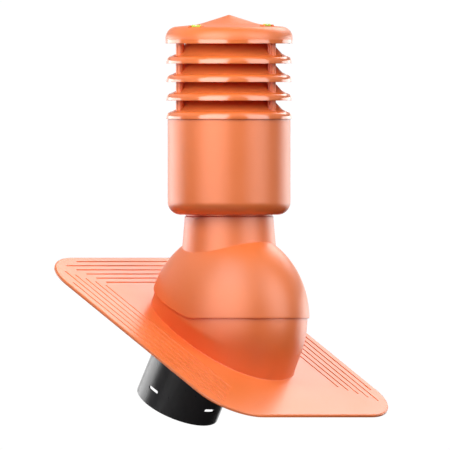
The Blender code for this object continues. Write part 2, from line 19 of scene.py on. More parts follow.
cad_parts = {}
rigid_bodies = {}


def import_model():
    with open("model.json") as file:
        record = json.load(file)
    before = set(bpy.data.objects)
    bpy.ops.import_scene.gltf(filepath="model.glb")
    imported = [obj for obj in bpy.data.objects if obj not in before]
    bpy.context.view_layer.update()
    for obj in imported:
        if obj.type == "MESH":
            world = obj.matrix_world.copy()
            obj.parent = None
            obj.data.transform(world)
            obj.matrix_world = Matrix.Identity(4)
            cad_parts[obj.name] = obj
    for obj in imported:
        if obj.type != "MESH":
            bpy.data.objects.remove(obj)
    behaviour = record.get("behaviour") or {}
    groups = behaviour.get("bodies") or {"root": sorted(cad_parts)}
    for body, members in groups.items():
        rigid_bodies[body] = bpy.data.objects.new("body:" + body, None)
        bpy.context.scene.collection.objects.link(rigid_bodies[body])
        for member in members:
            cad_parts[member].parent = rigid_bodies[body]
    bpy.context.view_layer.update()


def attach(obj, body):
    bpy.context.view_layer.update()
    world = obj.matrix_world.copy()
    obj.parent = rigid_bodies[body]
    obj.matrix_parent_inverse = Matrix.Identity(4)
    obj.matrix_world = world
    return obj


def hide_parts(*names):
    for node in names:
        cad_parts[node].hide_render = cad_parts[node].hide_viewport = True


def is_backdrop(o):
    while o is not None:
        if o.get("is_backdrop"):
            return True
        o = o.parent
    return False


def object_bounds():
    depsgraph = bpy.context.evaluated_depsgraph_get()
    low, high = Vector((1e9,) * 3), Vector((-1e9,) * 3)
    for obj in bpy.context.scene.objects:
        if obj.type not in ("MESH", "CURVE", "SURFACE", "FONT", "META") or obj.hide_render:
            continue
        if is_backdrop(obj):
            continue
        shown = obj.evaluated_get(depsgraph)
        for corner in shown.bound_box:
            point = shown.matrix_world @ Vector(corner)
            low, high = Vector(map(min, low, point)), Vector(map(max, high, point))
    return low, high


Point = tuple[float, float]
Object = bpy.types.Object
Material = bpy.types.Material

LOG = logging.getLogger("chimney")

# Sizes that several sub-assemblies share
ROOF_PITCH = math.radians(30.0)
PLATE_LENGTH = 0.550
PLATE_THICKNESS = 0.005
FOOT_DOWNHILL = 0.1545
SWIVEL_HEIGHT = 0.0355
CAP_GAP = 0.0213
FIT_GAP = 0.0003

# The origin is on the plate's underside, halfway between its lower edge and the collar's foot
MOUNT_PLACE = -(PLATE_LENGTH / 2 + FOOT_DOWNHILL) / 2
PLATE_FRAME = Matrix.Rotation(ROOF_PITCH, 4, "X") @ Matrix.Translation((0.0, -MOUNT_PLACE, 0.0))
SWIVEL = PLATE_FRAME @ Vector((0.0, 0.0, PLATE_THICKNESS + SWIVEL_HEIGHT))
COLUMN_FRAME = Matrix.Translation(SWIVEL)
INTO_PLATE = Vector((0.0, 0.0, -PLATE_THICKNESS / 2))

# Facets round a turned shape: in the head, of a pipe, of a hole, of a shape that only cuts, of a vial
HEAD_FACETS = 192
PIPE_FACETS = 160
HOLE_FACETS = 128
CUT_FACETS = 96
VIAL_FACETS = 32

# Rounding of a profile's corners: the most of a stretch that it takes, and where the next point holds it flat
EASE_SHARE = 0.3
EASE_HOLD = 1.6

MERGE = 0.000002
HALVINGS = 40
UPWARD = 0.5
MATHS = "ShaderNodeMath"


class Body(Enum):
    """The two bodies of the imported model."""

    BASE = "flashing_base"
    COLUMN = "column"


class Slot(Enum):
    """The record's material slots."""

    TERRACOTTA = "terracotta_plastic"
    BLACK = "black_plastic"
    VIAL = "level_vial"


class Join(Enum):
    """What a Boolean does with its tool."""

    ADD = "UNION"
    CUT = "DIFFERENCE"


class LightUse(Enum):
    """What a studio light is for: the object's own brightness, or what its gloss reflects."""

    FILL = "fill"
    CARD = "card"


# Helpers for nodes


def linear(code: str) -> tuple[float, float, float, float]:
    """Turn an sRGB hex colour into linear red, green, blue and alpha, by the sRGB curve.

    Args:
        code: Six hex digits, without a sign before them.

    Returns:
        The linear colour with full alpha.
    """
    parts = [int(code[start : start + 2], 16) / 255 for start in (0, 2, 4)]
    return (*(p / 12.92 if p <= 0.04045 else ((p + 0.055) / 1.055) ** 2.4 for p in parts), 1.0)


def add_node(
    tree: bpy.types.NodeTree,
    kind: str,
    inputs: dict[int | str, Any] | None = None,
    **settings: Any,
) -> bpy.types.Node:
    """Add a node, set its properties, and fill or link its inputs.

    Args:
        tree: The tree to add to.
        kind: The node's type name.
        inputs: For each input, by its number or name, a value or the output socket that feeds it.
        settings: The node's own properties.

    Returns:
        The new node.
    """
    node = tree.nodes.new(kind)
    for name, value in settings.items():
        setattr(node, name, value)
    for key, value in (inputs or {}).items():
        if isinstance(value, bpy.types.NodeSocket):
            tree.links.new(value, node.inputs[key])
        else:
            node.inputs[key].default_value = value
    return node


def new_shape_tree(name: str, inputs: dict[str, str]) -> tuple[bpy.types.NodeTree, bpy.types.Node]:
    """Start a Geometry Nodes tree with a geometry, named inputs, a material and a geometry output.

    Args:
        name: The tree's name.
        inputs: The socket type of each size, by its name.

    Returns:
        The tree and its input node.
    """
    tree = bpy.data.node_groups.new(name, "GeometryNodeTree")
    tree.interface.new_socket("Geometry", in_out="INPUT", socket_type="NodeSocketGeometry")
    for socket, kind in inputs.items():
        tree.interface.new_socket(socket, in_out="INPUT", socket_type=kind)
    tree.interface.new_socket("Material", in_out="INPUT", socket_type="NodeSocketMaterial")
    tree.interface.new_socket("Geometry", in_out="OUTPUT", socket_type="NodeSocketGeometry")
    return tree, tree.nodes.new("NodeGroupInput")


def close_shape_tree(
    tree: bpy.types.NodeTree, given: bpy.types.Node, shape: bpy.types.NodeSocket
) -> bpy.types.NodeTree:
    """End a tree in Realize Instances and Set Material.

    Args:
        tree: The tree to end.
        given: Its input node, which gives the material.
        shape: The geometry that the tree makes.

    Returns:
        The same tree.
    """
    real = add_node(tree, "GeometryNodeRealizeInstances", {"Geometry": shape})
    inputs = {"Geometry": real.outputs[0], "Material": given.outputs["Material"]}
    dressed = add_node(tree, "GeometryNodeSetMaterial", inputs)
    add_node(tree, "NodeGroupOutput", {0: dressed.outputs[0]})
    return tree


def grow(base: Object, tree: bpy.types.NodeTree, values: dict[str, Any]) -> Object:
    """Run a Geometry Nodes tree on an object and keep the result as its plain mesh.

    Args:
        base: The object whose mesh the tree reads.
        tree: The tree.
        values: The value of each named input that is set.

    Returns:
        The same object, with the new mesh and no modifier.
    """
    modifier = base.modifiers.new(tree.name, "NODES")
    modifier.node_group = tree
    sockets = {item.name: item.identifier for item in tree.interface.items_tree if item.in_out == "INPUT"}
    for name, value in values.items():
        modifier[sockets[name]] = value
    return settle(base, modifier)


def settle(base: Object, modifier: bpy.types.Modifier) -> Object:
    """Replace an object's mesh by what its modifier makes of it, and remove the modifier.

    Args:
        base: The object.
        modifier: Its only modifier.

    Returns:
        The same object.
    """
    bpy.context.view_layer.update()
    graph = bpy.context.evaluated_depsgraph_get()
    mesh = bpy.data.meshes.new_from_object(base.evaluated_get(graph))
    base.modifiers.remove(modifier)
    old, base.data = base.data, mesh
    bpy.data.meshes.remove(old)
    return base


# Helpers for meshes


def close_solid(bm: bmesh.types.BMesh) -> None:
    """Merge a closed solid's doubles, drop its empty faces and turn its faces outwards.

    Args:
        bm: The solid's mesh.
    """
    bmesh.ops.remove_doubles(bm, verts=bm.verts, dist=MERGE)
    bmesh.ops.dissolve_degenerate(bm, edges=bm.edges, dist=MERGE)
    bmesh.ops.recalc_face_normals(bm, faces=bm.faces)


def heal(piece: Object) -> Object:
    """Close up the solid that a tree has made.

    Args:
        piece: The solid's object.

    Returns:
        The same object.
    """
    bm = bmesh.new()
    bm.from_mesh(piece.data)
    close_solid(bm)
    bm.to_mesh(piece.data)
    bm.free()
    return piece


def mesh_object(name: str, bm: bmesh.types.BMesh, closed: bool = True) -> Object:
    """Turn a bmesh into an object in the scene.

    Args:
        name: The object's name.
        bm: The mesh, which is freed.
        closed: Whether it is a closed solid.

    Returns:
        The new object.
    """
    if closed:
        close_solid(bm)
    mesh = bpy.data.meshes.new(name)
    bm.to_mesh(mesh)
    bm.free()
    made = bpy.data.objects.new(name, mesh)
    bpy.context.scene.collection.objects.link(made)
    return made


def line_object(name: str, points: Sequence[Point]) -> Object:
    """Draw a line of edges for a tree to turn.

    Args:
        name: The object's name.
        points: The line's (radius, height) points.

    Returns:
        The new object.
    """
    bm = bmesh.new()
    corners = [bm.verts.new((radius, 0.0, height)) for radius, height in points]
    for pair in zip(corners, corners[1:]):
        bm.edges.new(pair)
    return mesh_object(name, bm, closed=False)


def prism(name: str, outline: Sequence[Point], low: float, high: float) -> Object:
    """Make an upright solid with a flat outline.

    Args:
        name: The solid's name.
        outline: Its (x, y) points, in order.
        low: The height of its underside.
        high: The height of its top.

    Returns:
        The solid.
    """
    bm = bmesh.new()
    base = bm.faces.new([bm.verts.new((x, y, low)) for x, y in outline])
    top = bmesh.ops.extrude_face_region(bm, geom=[base])["geom"]
    lifted = [item for item in top if isinstance(item, bmesh.types.BMVert)]
    bmesh.ops.translate(bm, verts=lifted, vec=(0.0, 0.0, high - low))
    return mesh_object(name, bm)


def move(piece: Object, matrix: Matrix) -> Object:
    """Move a piece's mesh, and leave its origin where it is."""
    piece.data.transform(matrix)
    return piece


def combine(piece: Object, tool: Object, join: Join) -> Object:
    """Apply a Boolean to a piece, and remove its tool.

    Args:
        piece: The piece, a closed solid.
        tool: The tool, another closed solid.
        join: Whether the tool is added to the piece or cut out of it.

    Returns:
        The same piece.
    """
    modifier = piece.modifiers.new("combine", "BOOLEAN")
    modifier.operation = join.value
    modifier.solver = "EXACT"
    modifier.object = tool
    settle(piece, modifier)
    bpy.data.objects.remove(tool, do_unlink=True)
    return piece


def bridge(bm: bmesh.types.BMesh, loops: Sequence[Sequence[bmesh.types.BMVert]]) -> None:
    """Join each closed loop of corners to the next one with faces.

    Args:
        bm: The mesh.
        loops: The loops, in order, with as many corners each.
    """
    for lower, upper in zip(loops, loops[1:]):
        count = len(lower)
        for index in range(count):
            after = (index + 1) % count
            bm.faces.new([lower[index], lower[after], upper[after], upper[index]])


def arc(centre: Point, radii: Point, start: float, end: float, steps: int) -> list[Point]:
    """Lay points on an elliptical arc.

    Args:
        centre: The arc's centre.
        radii: Its two half-axes.
        start: The angle of its first point, in degrees.
        end: The angle of its last point, in degrees.
        steps: How many stretches it has.

    Returns:
        The points, with both ends.
    """
    points = []
    for step in range(steps + 1):
        angle = math.radians(start + (end - start) * step / steps)
        points.append((centre[0] + radii[0] * math.cos(angle), centre[1] + radii[1] * math.sin(angle)))
    return points


def curve(start: Point, corner: Point, end: Point, steps: int) -> list[Point]:
    """Lay points on a curve that bends towards a corner.

    Args:
        start: Its first point.
        corner: The corner that it rounds.
        end: Its last point.
        steps: How many stretches it has.

    Returns:
        The points, with both ends.
    """
    points = []
    for step in range(steps + 1):
        t = step / steps
        weights = ((1 - t) ** 2, 2 * t * (1 - t), t**2)
        across, up = (sum(w * p[axis] for w, p in zip(weights, (start, corner, end))) for axis in (0, 1))
        points.append((across, up))
    return points


def eased(
    points: Sequence[Point], radius: float, steps: int = 3, sharpest: float = math.radians(20.0)
) -> list[Point]:
    """Round the corners of a line, and hold the stretches between them flat.

    Args:
        points: The line, with its two ends left as they are.
        radius: How far from a corner its rounding starts.
        steps: How many stretches a rounding has.
        sharpest: The turn below which a corner is left alone.

    Returns:
        The rounded line, with a point just outside each rounding to keep the shading flat.
    """
    line = [points[0]]
    for before, corner, after in zip(points, points[1:], points[2:]):
        come = Vector((corner[0] - before[0], corner[1] - before[1]))
        leave = Vector((after[0] - corner[0], after[1] - corner[1]))
        if come.length < MERGE or leave.length < MERGE or come.angle(leave) < sharpest:
            line.append(corner)
            continue
        reach = min(radius, come.length * EASE_SHARE, leave.length * EASE_SHARE)
        one, two = come.normalized() * reach, leave.normalized() * reach
        at = Vector(corner)
        line.append(tuple(at - one * EASE_HOLD))
        line += curve(tuple(at - one), corner, tuple(at + two), steps)
        line.append(tuple(at + two * EASE_HOLD))
    return line + [points[-1]]


def offset_line(points: Sequence[Point], distance: float) -> list[Point]:
    """Draw a line beside a line, with mitred corners.

    Args:
        points: The line.
        distance: How far to its left the new line runs, or to its right if negative.

    Returns:
        The new line.
    """
    ways = [Vector((b[0] - a[0], b[1] - a[1])).normalized() for a, b in zip(points, points[1:])]
    moved = []
    for index, point in enumerate(points):
        before = ways[max(index - 1, 0)]
        after = ways[min(index, len(ways) - 1)]
        normal = Vector((-before.y - after.y, before.x + after.x)).normalized()
        reach = distance / normal.dot(Vector((-after.y, after.x)))
        moved.append((point[0] + normal.x * reach, point[1] + normal.y * reach))
    return moved


def upto_radius(points: Sequence[Point], radius: float) -> list[Point]:
    """Keep the part of a line that runs inward from a radius.

    Args:
        points: The line's (radius, height) points.
        radius: Where the part starts.

    Returns:
        The part, with a new first point at that radius.
    """
    for index, (outer, inner) in enumerate(zip(points, points[1:])):
        if inner[0] < radius <= outer[0]:
            share = (outer[0] - radius) / (outer[0] - inner[0])
            return [(radius, outer[1] + (inner[1] - outer[1]) * share), *points[index + 1 :]]
    return list(points)


def spheroid(name: str, half_width: float, radius: float, around: int = 160, bands: int = 80) -> Object:
    """Make a spheroid about x.

    Args:
        name: Its name.
        half_width: Its half-axis along x.
        radius: Its radius about x.
        around: How many facets it has round it.
        bands: How many it has from pole to pole.

    Returns:
        The spheroid.
    """
    bm = bmesh.new()
    bmesh.ops.create_uvsphere(bm, u_segments=around, v_segments=bands, radius=1.0)
    poles_on_x = Matrix.Rotation(math.pi / 2, 4, "Y")
    stretch = Matrix.Diagonal((half_width, radius, radius, 1.0))
    bmesh.ops.transform(bm, matrix=stretch @ poles_on_x, verts=bm.verts)
    return mesh_object(name, bm)


def dress(piece: Object, *materials: Material) -> Object:
    """Give a piece its materials in the place of those it has, with every face in the first one.

    Args:
        piece: The piece.
        materials: Its materials, in order.

    Returns:
        The same piece.
    """
    piece.data.materials.clear()
    for material in materials:
        piece.data.materials.append(material)
    for face in piece.data.polygons:
        face.material_index = 0
    return piece


def finish_piece(
    piece: Object,
    body: Body,
    nodes: Sequence[str],
    crease: float = math.radians(40.0),
) -> Object:
    """Shade a piece, make it ride on its body and stand for its nodes.

    Args:
        piece: The piece, with its place in its mesh and its material on it.
        body: The body that it moves with.
        nodes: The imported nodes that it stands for.
        crease: The angle above which an edge is drawn sharp.

    Returns:
        The same piece.
    """
    piece.data.shade_smooth()
    piece.data.set_sharp_from_angle(angle=crease)
    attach(piece, body.value)
    if nodes:
        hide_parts(*nodes)
    LOG.info("%s: %d faces, on %s", piece.name, len(piece.data.polygons), body.value)
    return piece


# Geometry Nodes trees


def turning_tree() -> bpy.types.NodeTree:
    """Make the tree that turns its mesh's line of points about z, as a lathe does.

    Returns:
        The tree.
    """
    tree, given = new_shape_tree("turn_profile", {"Segments": "NodeSocketInt"})
    line = given.outputs["Geometry"]
    count = add_node(tree, "GeometryNodeAttributeDomainSize", {"Geometry": line}).outputs["Point Count"]
    rows = add_node(tree, MATHS, {0: given.outputs["Segments"], 1: 1.0}, operation="ADD")
    grid = add_node(tree, "GeometryNodeMeshGrid", {0: 1.0, 1: 1.0, 2: count, 3: rows.outputs[0]})
    place = add_node(tree, "GeometryNodeInputPosition").outputs[0]
    where = add_node(tree, "ShaderNodeSeparateXYZ", {0: place})
    last = add_node(tree, MATHS, {0: count, 1: 1.0}, operation="SUBTRACT")
    share = add_node(tree, MATHS, {0: where.outputs[0], 1: 0.5}, operation="ADD")
    number = add_node(tree, MATHS, {0: share.outputs[0], 1: last.outputs[0]}, operation="MULTIPLY")
    nearest = add_node(tree, MATHS, {0: number.outputs[0]}, operation="ROUND")
    sample = add_node(
        tree,
        "GeometryNodeSampleIndex",
        {"Geometry": line, "Value": place, "Index": nearest.outputs[0]},
        data_type="FLOAT_VECTOR",
        domain="POINT",
    )
    profile = add_node(tree, "ShaderNodeSeparateXYZ", {0: sample.outputs[0]})
    turn = add_node(tree, MATHS, {0: where.outputs[1], 1: 0.5}, operation="ADD")
    angle = add_node(tree, MATHS, {0: turn.outputs[0], 1: math.tau}, operation="MULTIPLY")
    cosine = add_node(tree, MATHS, {0: angle.outputs[0]}, operation="COSINE")
    sine = add_node(tree, MATHS, {0: angle.outputs[0]}, operation="SINE")
    x = add_node(tree, MATHS, {0: profile.outputs[0], 1: cosine.outputs[0]}, operation="MULTIPLY")
    y = add_node(tree, MATHS, {0: profile.outputs[0], 1: sine.outputs[0]}, operation="MULTIPLY")
    turned = add_node(tree, "ShaderNodeCombineXYZ", {0: x.outputs[0], 1: y.outputs[0], 2: profile.outputs[2]})
    placing = {"Geometry": grid.outputs[0], "Position": turned.outputs[0]}
    placed = add_node(tree, "GeometryNodeSetPosition", placing)
    closing = {"Geometry": placed.outputs[0], "Distance": MERGE}
    closed = add_node(tree, "GeometryNodeMergeByDistance", closing)
    return close_shape_tree(tree, given, closed.outputs[0])


def groove_tree() -> bpy.types.NodeTree:
    """Make the tree that lays a round bar along each edge of its mesh.

    Returns:
        The tree.
    """
    tree, given = new_shape_tree("groove_bars", {"Radius": "NodeSocketFloat", "Sides": "NodeSocketInt"})
    lines = add_node(tree, "GeometryNodeMeshToCurve", {"Mesh": given.outputs["Geometry"]})
    section = {"Resolution": given.outputs["Sides"], "Radius": given.outputs["Radius"]}
    ring = add_node(tree, "GeometryNodeCurvePrimitiveCircle", section)
    sweep = {"Curve": lines.outputs[0], "Profile Curve": ring.outputs[0], "Fill Caps": True}
    bars = add_node(tree, "GeometryNodeCurveToMesh", sweep)
    return close_shape_tree(tree, given, bars.outputs[0])


def ribbed_bar_tree() -> bpy.types.NodeTree:
    """Make the tree that makes an upright bar whose round section carries ribs.

    Returns:
        The tree.
    """
    sizes = {name: "NodeSocketFloat" for name in ("Radius", "Low", "High", "Ribs", "Rib Depth")}
    counts = {name: "NodeSocketInt" for name in ("Sides", "Stretches")}
    tree, given = new_shape_tree("ribbed_bar", sizes | counts)
    ends = {0: given.outputs["High"], 1: given.outputs["Low"]}
    rise = add_node(tree, MATHS, ends, operation="SUBTRACT")
    round_bar = {
        "Vertices": given.outputs["Sides"],
        "Side Segments": given.outputs["Stretches"],
        "Radius": given.outputs["Radius"],
        "Depth": rise.outputs[0],
    }
    bar = add_node(tree, "GeometryNodeMeshCylinder", round_bar, fill_type="NGON")
    place = add_node(tree, "GeometryNodeInputPosition").outputs[0]
    where = add_node(tree, "ShaderNodeSeparateXYZ", {0: place})
    angle = add_node(tree, MATHS, {0: where.outputs[1], 1: where.outputs[0]}, operation="ARCTAN2")
    phase = add_node(tree, MATHS, {0: angle.outputs[0], 1: given.outputs["Ribs"]}, operation="MULTIPLY")
    wave = add_node(tree, MATHS, {0: phase.outputs[0]}, operation="COSINE")
    lowered = add_node(tree, MATHS, {0: wave.outputs[0], 1: 1.0}, operation="SUBTRACT")
    half_depth = add_node(tree, MATHS, {0: given.outputs["Rib Depth"], 1: 0.5}, operation="MULTIPLY")
    dip = add_node(tree, MATHS, {0: lowered.outputs[0], 1: half_depth.outputs[0]}, operation="MULTIPLY")
    share = add_node(tree, MATHS, {0: dip.outputs[0], 1: given.outputs["Radius"]}, operation="DIVIDE")
    x = add_node(tree, MATHS, {0: where.outputs[0], 1: share.outputs[0]}, operation="MULTIPLY")
    y = add_node(tree, MATHS, {0: where.outputs[1], 1: share.outputs[0]}, operation="MULTIPLY")
    shift = add_node(tree, "ShaderNodeCombineXYZ", {0: x.outputs[0], 1: y.outputs[0]})
    ribbing = {"Geometry": bar.outputs[0], "Offset": shift.outputs[0]}
    ribbed = add_node(tree, "GeometryNodeSetPosition", ribbing)
    middle = add_node(tree, MATHS, ends, operation="ADD")
    half = add_node(tree, MATHS, {0: middle.outputs[0], 1: 0.5}, operation="MULTIPLY")
    lift = add_node(tree, "ShaderNodeCombineXYZ", {2: half.outputs[0]})
    lifting = {"Geometry": ribbed.outputs[0], "Translation": lift.outputs[0]}
    lifted = add_node(tree, "GeometryNodeTransform", lifting)
    return close_shape_tree(tree, given, lifted.outputs[0])


@dataclass
class Workshop:
    """The trees that several sub-assemblies share."""

    turning: bpy.types.NodeTree
    grooves: bpy.types.NodeTree
    ribbed: bpy.types.NodeTree

    def turn(self, name: str, profile: Sequence[Point], segments: int) -> Object:
        """Turn a profile of (radius, height) points about z into a closed solid.

        Args:
            name: The solid's name.
            profile: Its points; the last repeats the first, or both ends lie on the axis.
            segments: How many facets it has round it.

        Returns:
            The solid, with its faces pointing out.
        """
        return heal(grow(line_object(name, profile), self.turning, {"Segments": segments}))


# Finishes


def new_finish(name: str) -> tuple[Material, bpy.types.Node]:
    """Start a material.

    Args:
        name: Its name.

    Returns:
        The material and its shader.
    """
    made = bpy.data.materials.new(name)
    made.use_nodes = True
    return made, made.node_tree.nodes["Principled BSDF"]


@dataclass(frozen=True)
class MouldedTerracotta:
    """Polypropylene moulded in a terracotta colour, from a tool with a fine spark texture.

    The texture gives a satin gloss. The long waves of shrinkage bend its highlights a little, and the
    pigment drifts by a shade across a piece. The real texture, about 0.1 mm, is too fine for the
    picture, so its grain is drawn 0.7 mm wide.
    """

    name: str = "moulded_terracotta"
    colour: str = "EF7838"
    drifted: str = "F47F41"
    ior: float = 1.49
    specular: float = 0.52
    roughness: float = 0.38
    roughness_drift: float = 0.05
    grain: float = 0.0007
    grain_height: float = 0.00001
    wave: float = 0.030
    wave_height: float = 0.00012
    drift: float = 0.090

    def material(self) -> Material:
        """Make the material.

        Returns:
            The material.
        """
        made, shader = new_finish(self.name)
        tree = made.node_tree
        shader.inputs["IOR"].default_value = self.ior
        shader.inputs["Specular IOR Level"].default_value = self.specular
        place = add_node(tree, "ShaderNodeTexCoord").outputs["Object"]
        spread = {"Vector": place, "Scale": 1 / self.drift, "Detail": 3.0}
        drift = add_node(tree, "ShaderNodeTexNoise", spread)
        shades = {0: drift.outputs[0], 6: linear(self.colour), 7: linear(self.drifted)}
        colour = add_node(tree, "ShaderNodeMix", shades, data_type="RGBA")
        tree.links.new(colour.outputs[2], shader.inputs["Base Color"])
        least = self.roughness - self.roughness_drift
        most = self.roughness + self.roughness_drift
        rough = add_node(tree, "ShaderNodeMapRange", {0: drift.outputs[0], 3: least, 4: most})
        tree.links.new(rough.outputs[0], shader.inputs["Roughness"])
        fine = {"Vector": place, "Scale": 1 / self.grain, "Detail": 2.0}
        grain = add_node(tree, "ShaderNodeTexNoise", fine)
        long = {"Vector": place, "Scale": 1 / self.wave, "Detail": 1.0}
        waves = add_node(tree, "ShaderNodeTexNoise", long)
        wavy = add_node(tree, "ShaderNodeBump", {"Distance": self.wave_height, "Height": waves.outputs[0]})
        on_waves = {"Distance": self.grain_height, "Height": grain.outputs[0], "Normal": wavy.outputs[0]}
        grained = add_node(tree, "ShaderNodeBump", on_waves)
        tree.links.new(grained.outputs[0], shader.inputs["Normal"])
        return made


@dataclass(frozen=True)
class ExtrudedBlack:
    """Black polypropylene pipe, extruded: a smooth skin with faint streaks along it."""

    name: str = "extruded_black"
    colour: str = "2D2D2F"
    ior: float = 1.49
    roughness: float = 0.30
    roughness_drift: float = 0.06
    streak: float = 0.004
    streak_length: float = 0.120
    streak_height: float = 0.00001

    def material(self) -> Material:
        """Make the material, with its streaks along the tilted pipe.

        Returns:
            The material.
        """
        made, shader = new_finish(self.name)
        tree = made.node_tree
        shader.inputs["IOR"].default_value = self.ior
        shader.inputs["Base Color"].default_value = linear(self.colour)
        place = add_node(tree, "ShaderNodeTexCoord").outputs["Object"]
        stretched = (1 / self.streak, 1 / self.streak, 1 / self.streak_length)
        turned = {"Vector": place, "Rotation": (-ROOF_PITCH, 0.0, 0.0), "Scale": stretched}
        along = add_node(tree, "ShaderNodeMapping", turned)
        drawn = {"Vector": along.outputs[0], "Scale": 1.0, "Detail": 3.0}
        streaks = add_node(tree, "ShaderNodeTexNoise", drawn)
        least = self.roughness - self.roughness_drift
        most = self.roughness + self.roughness_drift
        rough = add_node(tree, "ShaderNodeMapRange", {0: streaks.outputs[0], 3: least, 4: most})
        tree.links.new(rough.outputs[0], shader.inputs["Roughness"])
        raised = {"Distance": self.streak_height, "Height": streaks.outputs[0]}
        bump = add_node(tree, "ShaderNodeBump", raised)
        tree.links.new(bump.outputs[0], shader.inputs["Normal"])
        return made


@dataclass(frozen=True)
class ClearAcrylic:
    """Clear acrylic, moulded: the tube of a spirit level, which hides a small share of what it holds."""

    name: str = "clear_acrylic"
    colour: str = "E8F5A8"
    ior: float = 1.49
    roughness: float = 0.08
    cover: float = 0.18

    def material(self) -> Material:
        """Make the material.

        Returns:
            The material.
        """
        made, shader = new_finish(self.name)
        for socket, value in (
            ("Base Color", linear(self.colour)),
            ("Roughness", self.roughness),
            ("IOR", self.ior),
            ("Alpha", self.cover),
        ):
            shader.inputs[socket].default_value = value
        return made


@dataclass(frozen=True)
class LevelLiquid(ClearAcrylic):
    """The dyed spirit in a level, so strongly yellow-green in daylight that nothing shows through it."""

    name: str = "level_liquid"
    colour: str = "DDF200"
    ior: float = 1.36
    roughness: float = 0.45
    cover: float = 1.0


@dataclass(frozen=True)
class LevelBubble(ClearAcrylic):
    """The bubble in a level, whose pale colour is a painted reflection of the white sky."""

    name: str = "level_bubble"
    # painted reflection: this pale colour stands for the white sky seen in the bubble
    colour: str = "F7F6DC"
    ior: float = 1.36
    roughness: float = 0.30
    cover: float = 1.0


@dataclass(frozen=True)
class PaleFloor:
    """A matt, pale studio floor of painted board, with the faint mottle of a roller."""

    name: str = "pale_floor"
    colour: str = "DADAD8"
    rolled: str = "D4D4D2"
    roughness: float = 0.85
    mottle: float = 0.020

    def material(self) -> Material:
        """Make the material.

        Returns:
            The material.
        """
        made, shader = new_finish(self.name)
        tree = made.node_tree
        shader.inputs["Roughness"].default_value = self.roughness
        place = add_node(tree, "ShaderNodeTexCoord").outputs["Object"]
        mottle = add_node(tree, "ShaderNodeTexNoise", {"Vector": place, "Scale": 1 / self.mottle})
        shades = {0: mottle.outputs[0], 6: linear(self.colour), 7: linear(self.rolled)}
        colour = add_node(tree, "ShaderNodeMix", shades, data_type="RGBA")
        tree.links.new(colour.outputs[2], shader.inputs["Base Color"])
        return made


@dataclass(frozen=True)
class Palette:
    """Every material, made once."""

    satin: Material
    polished: Material
    black: Material
    acrylic: Material
    liquid: Material
    bubble: Material
    floor: Material

    @classmethod
    def mixed(cls) -> "Palette":
        """Make every material.

        Returns:
            The palette.
        """
        polished = MouldedTerracotta(
            name="polished_terracotta",
            specular=0.90,
            roughness=0.15,
            roughness_drift=0.02,
            grain_height=0.000002,
            wave_height=0.00003,
        )
        return cls(
            satin=MouldedTerracotta().material(),
            polished=polished.material(),
            black=ExtrudedBlack().material(),
            acrylic=ClearAcrylic().material(),
            liquid=LevelLiquid().material(),
            bubble=LevelBubble().material(),
            floor=PaleFloor().material(),
        )


# Sub-assemblies


@dataclass
class Swivel:
    """The sizes that the dome and the collar share."""

    radius: float = 0.156
    half_width: float = 0.122
    wall: float = 0.0025
    clearance: float = 0.0010
    downhill: float = math.radians(25.0)
    uphill: float = math.radians(5.0)
    setback: float = 0.0185
    fold: float = 0.0120
    rise: float = math.radians(22.0)

    def uphill_angle(self) -> float:
        """The angle of the dome's uphill rim about the swivel axis, from the downhill level."""
        distance = self.setback * math.sin(self.rise)
        return math.pi - self.rise - math.asin(distance / self.radius)

    def seam(self, y: float) -> float:
        """Find the height of the dome's rim, which runs level and then folds up to a slope.

        Args:
            y: The place across the swivel axis.

        Returns:
            The height above the axis.
        """
        start = -self.setback - self.fold
        end = -self.setback + self.fold * math.cos(self.rise)
        if y <= start:
            return 0.0
        if y >= end:
            return (y + self.setback) * math.tan(self.rise)
        low, high = 0.0, 1.0
        for _ in range(HALVINGS):
            t = (low + high) / 2
            place = start * (1 - t) ** 2 - 2 * self.setback * t * (1 - t) + end * t * t
            low, high = (t, high) if place < y else (low, t)
        return self.fold * math.sin(self.rise) * low * low


@dataclass
class DuctSpigot:
    """The black duct spigot: a pipe with a seating flange on top and slots near its end."""

    shop: Workshop
    radius: float = 0.075
    wall: float = 0.003
    drop: float = 0.153
    setback: float = 0.0355
    flange_width: float = 0.010
    flange_thickness: float = 0.003
    edge: float = 0.0008
    slots: int = 4
    slot_length: float = 0.024
    slot_height: float = 0.006
    slot_above_end: float = 0.030
    slot_steps: int = 8

    def slot(self, number: int) -> Object:
        """Make a bar with round ends through the wall, for one slot.

        Args:
            number: Which slot it is, counted round the pipe.

        Returns:
            The bar, which ends a wall's thickness past the wall on both sides.
        """
        end = self.slot_height / 2
        reach = self.slot_length / 2 - end
        outline = arc((reach, 0.0), (end, end), -90, 90, self.slot_steps)
        outline += arc((-reach, 0.0), (end, end), 90, 270, self.slot_steps)
        bore = self.radius - self.wall
        bar = prism("slot_bar", outline, bore - self.wall, self.radius + self.wall)
        turn = Matrix.Rotation(math.tau * number / self.slots, 4, "Z")
        rise = Matrix.Translation((0.0, 0.0, self.slot_above_end - self.drop))
        return move(bar, turn @ rise @ Matrix.Rotation(math.pi / 2, 4, "X"))

    def build(self, palette: Palette) -> Object:
        """Build and dress the spigot.

        Args:
            palette: Every material.

        Returns:
            The spigot.
        """
        bore = self.radius - self.wall
        seat = PLATE_THICKNESS + FIT_GAP
        top = seat + self.flange_thickness
        flange = self.radius + self.flange_width
        corners = [(bore, -self.drop), (self.radius, -self.drop), (self.radius, seat), (flange, seat)]
        corners += [(flange, top), (bore, top)]
        middle = (bore, (top - self.drop) / 2)
        line = eased([middle, *corners, middle], self.edge)
        spigot = self.shop.turn("spigot_pipe", line, PIPE_FACETS)
        for number in range(self.slots):
            combine(spigot, self.slot(number), Join.CUT)
        move(spigot, PLATE_FRAME @ Matrix.Translation((0.0, self.setback, 0.0)))
        return finish_piece(dress(spigot, palette.black), Body.BASE, ["duct_spigot"])


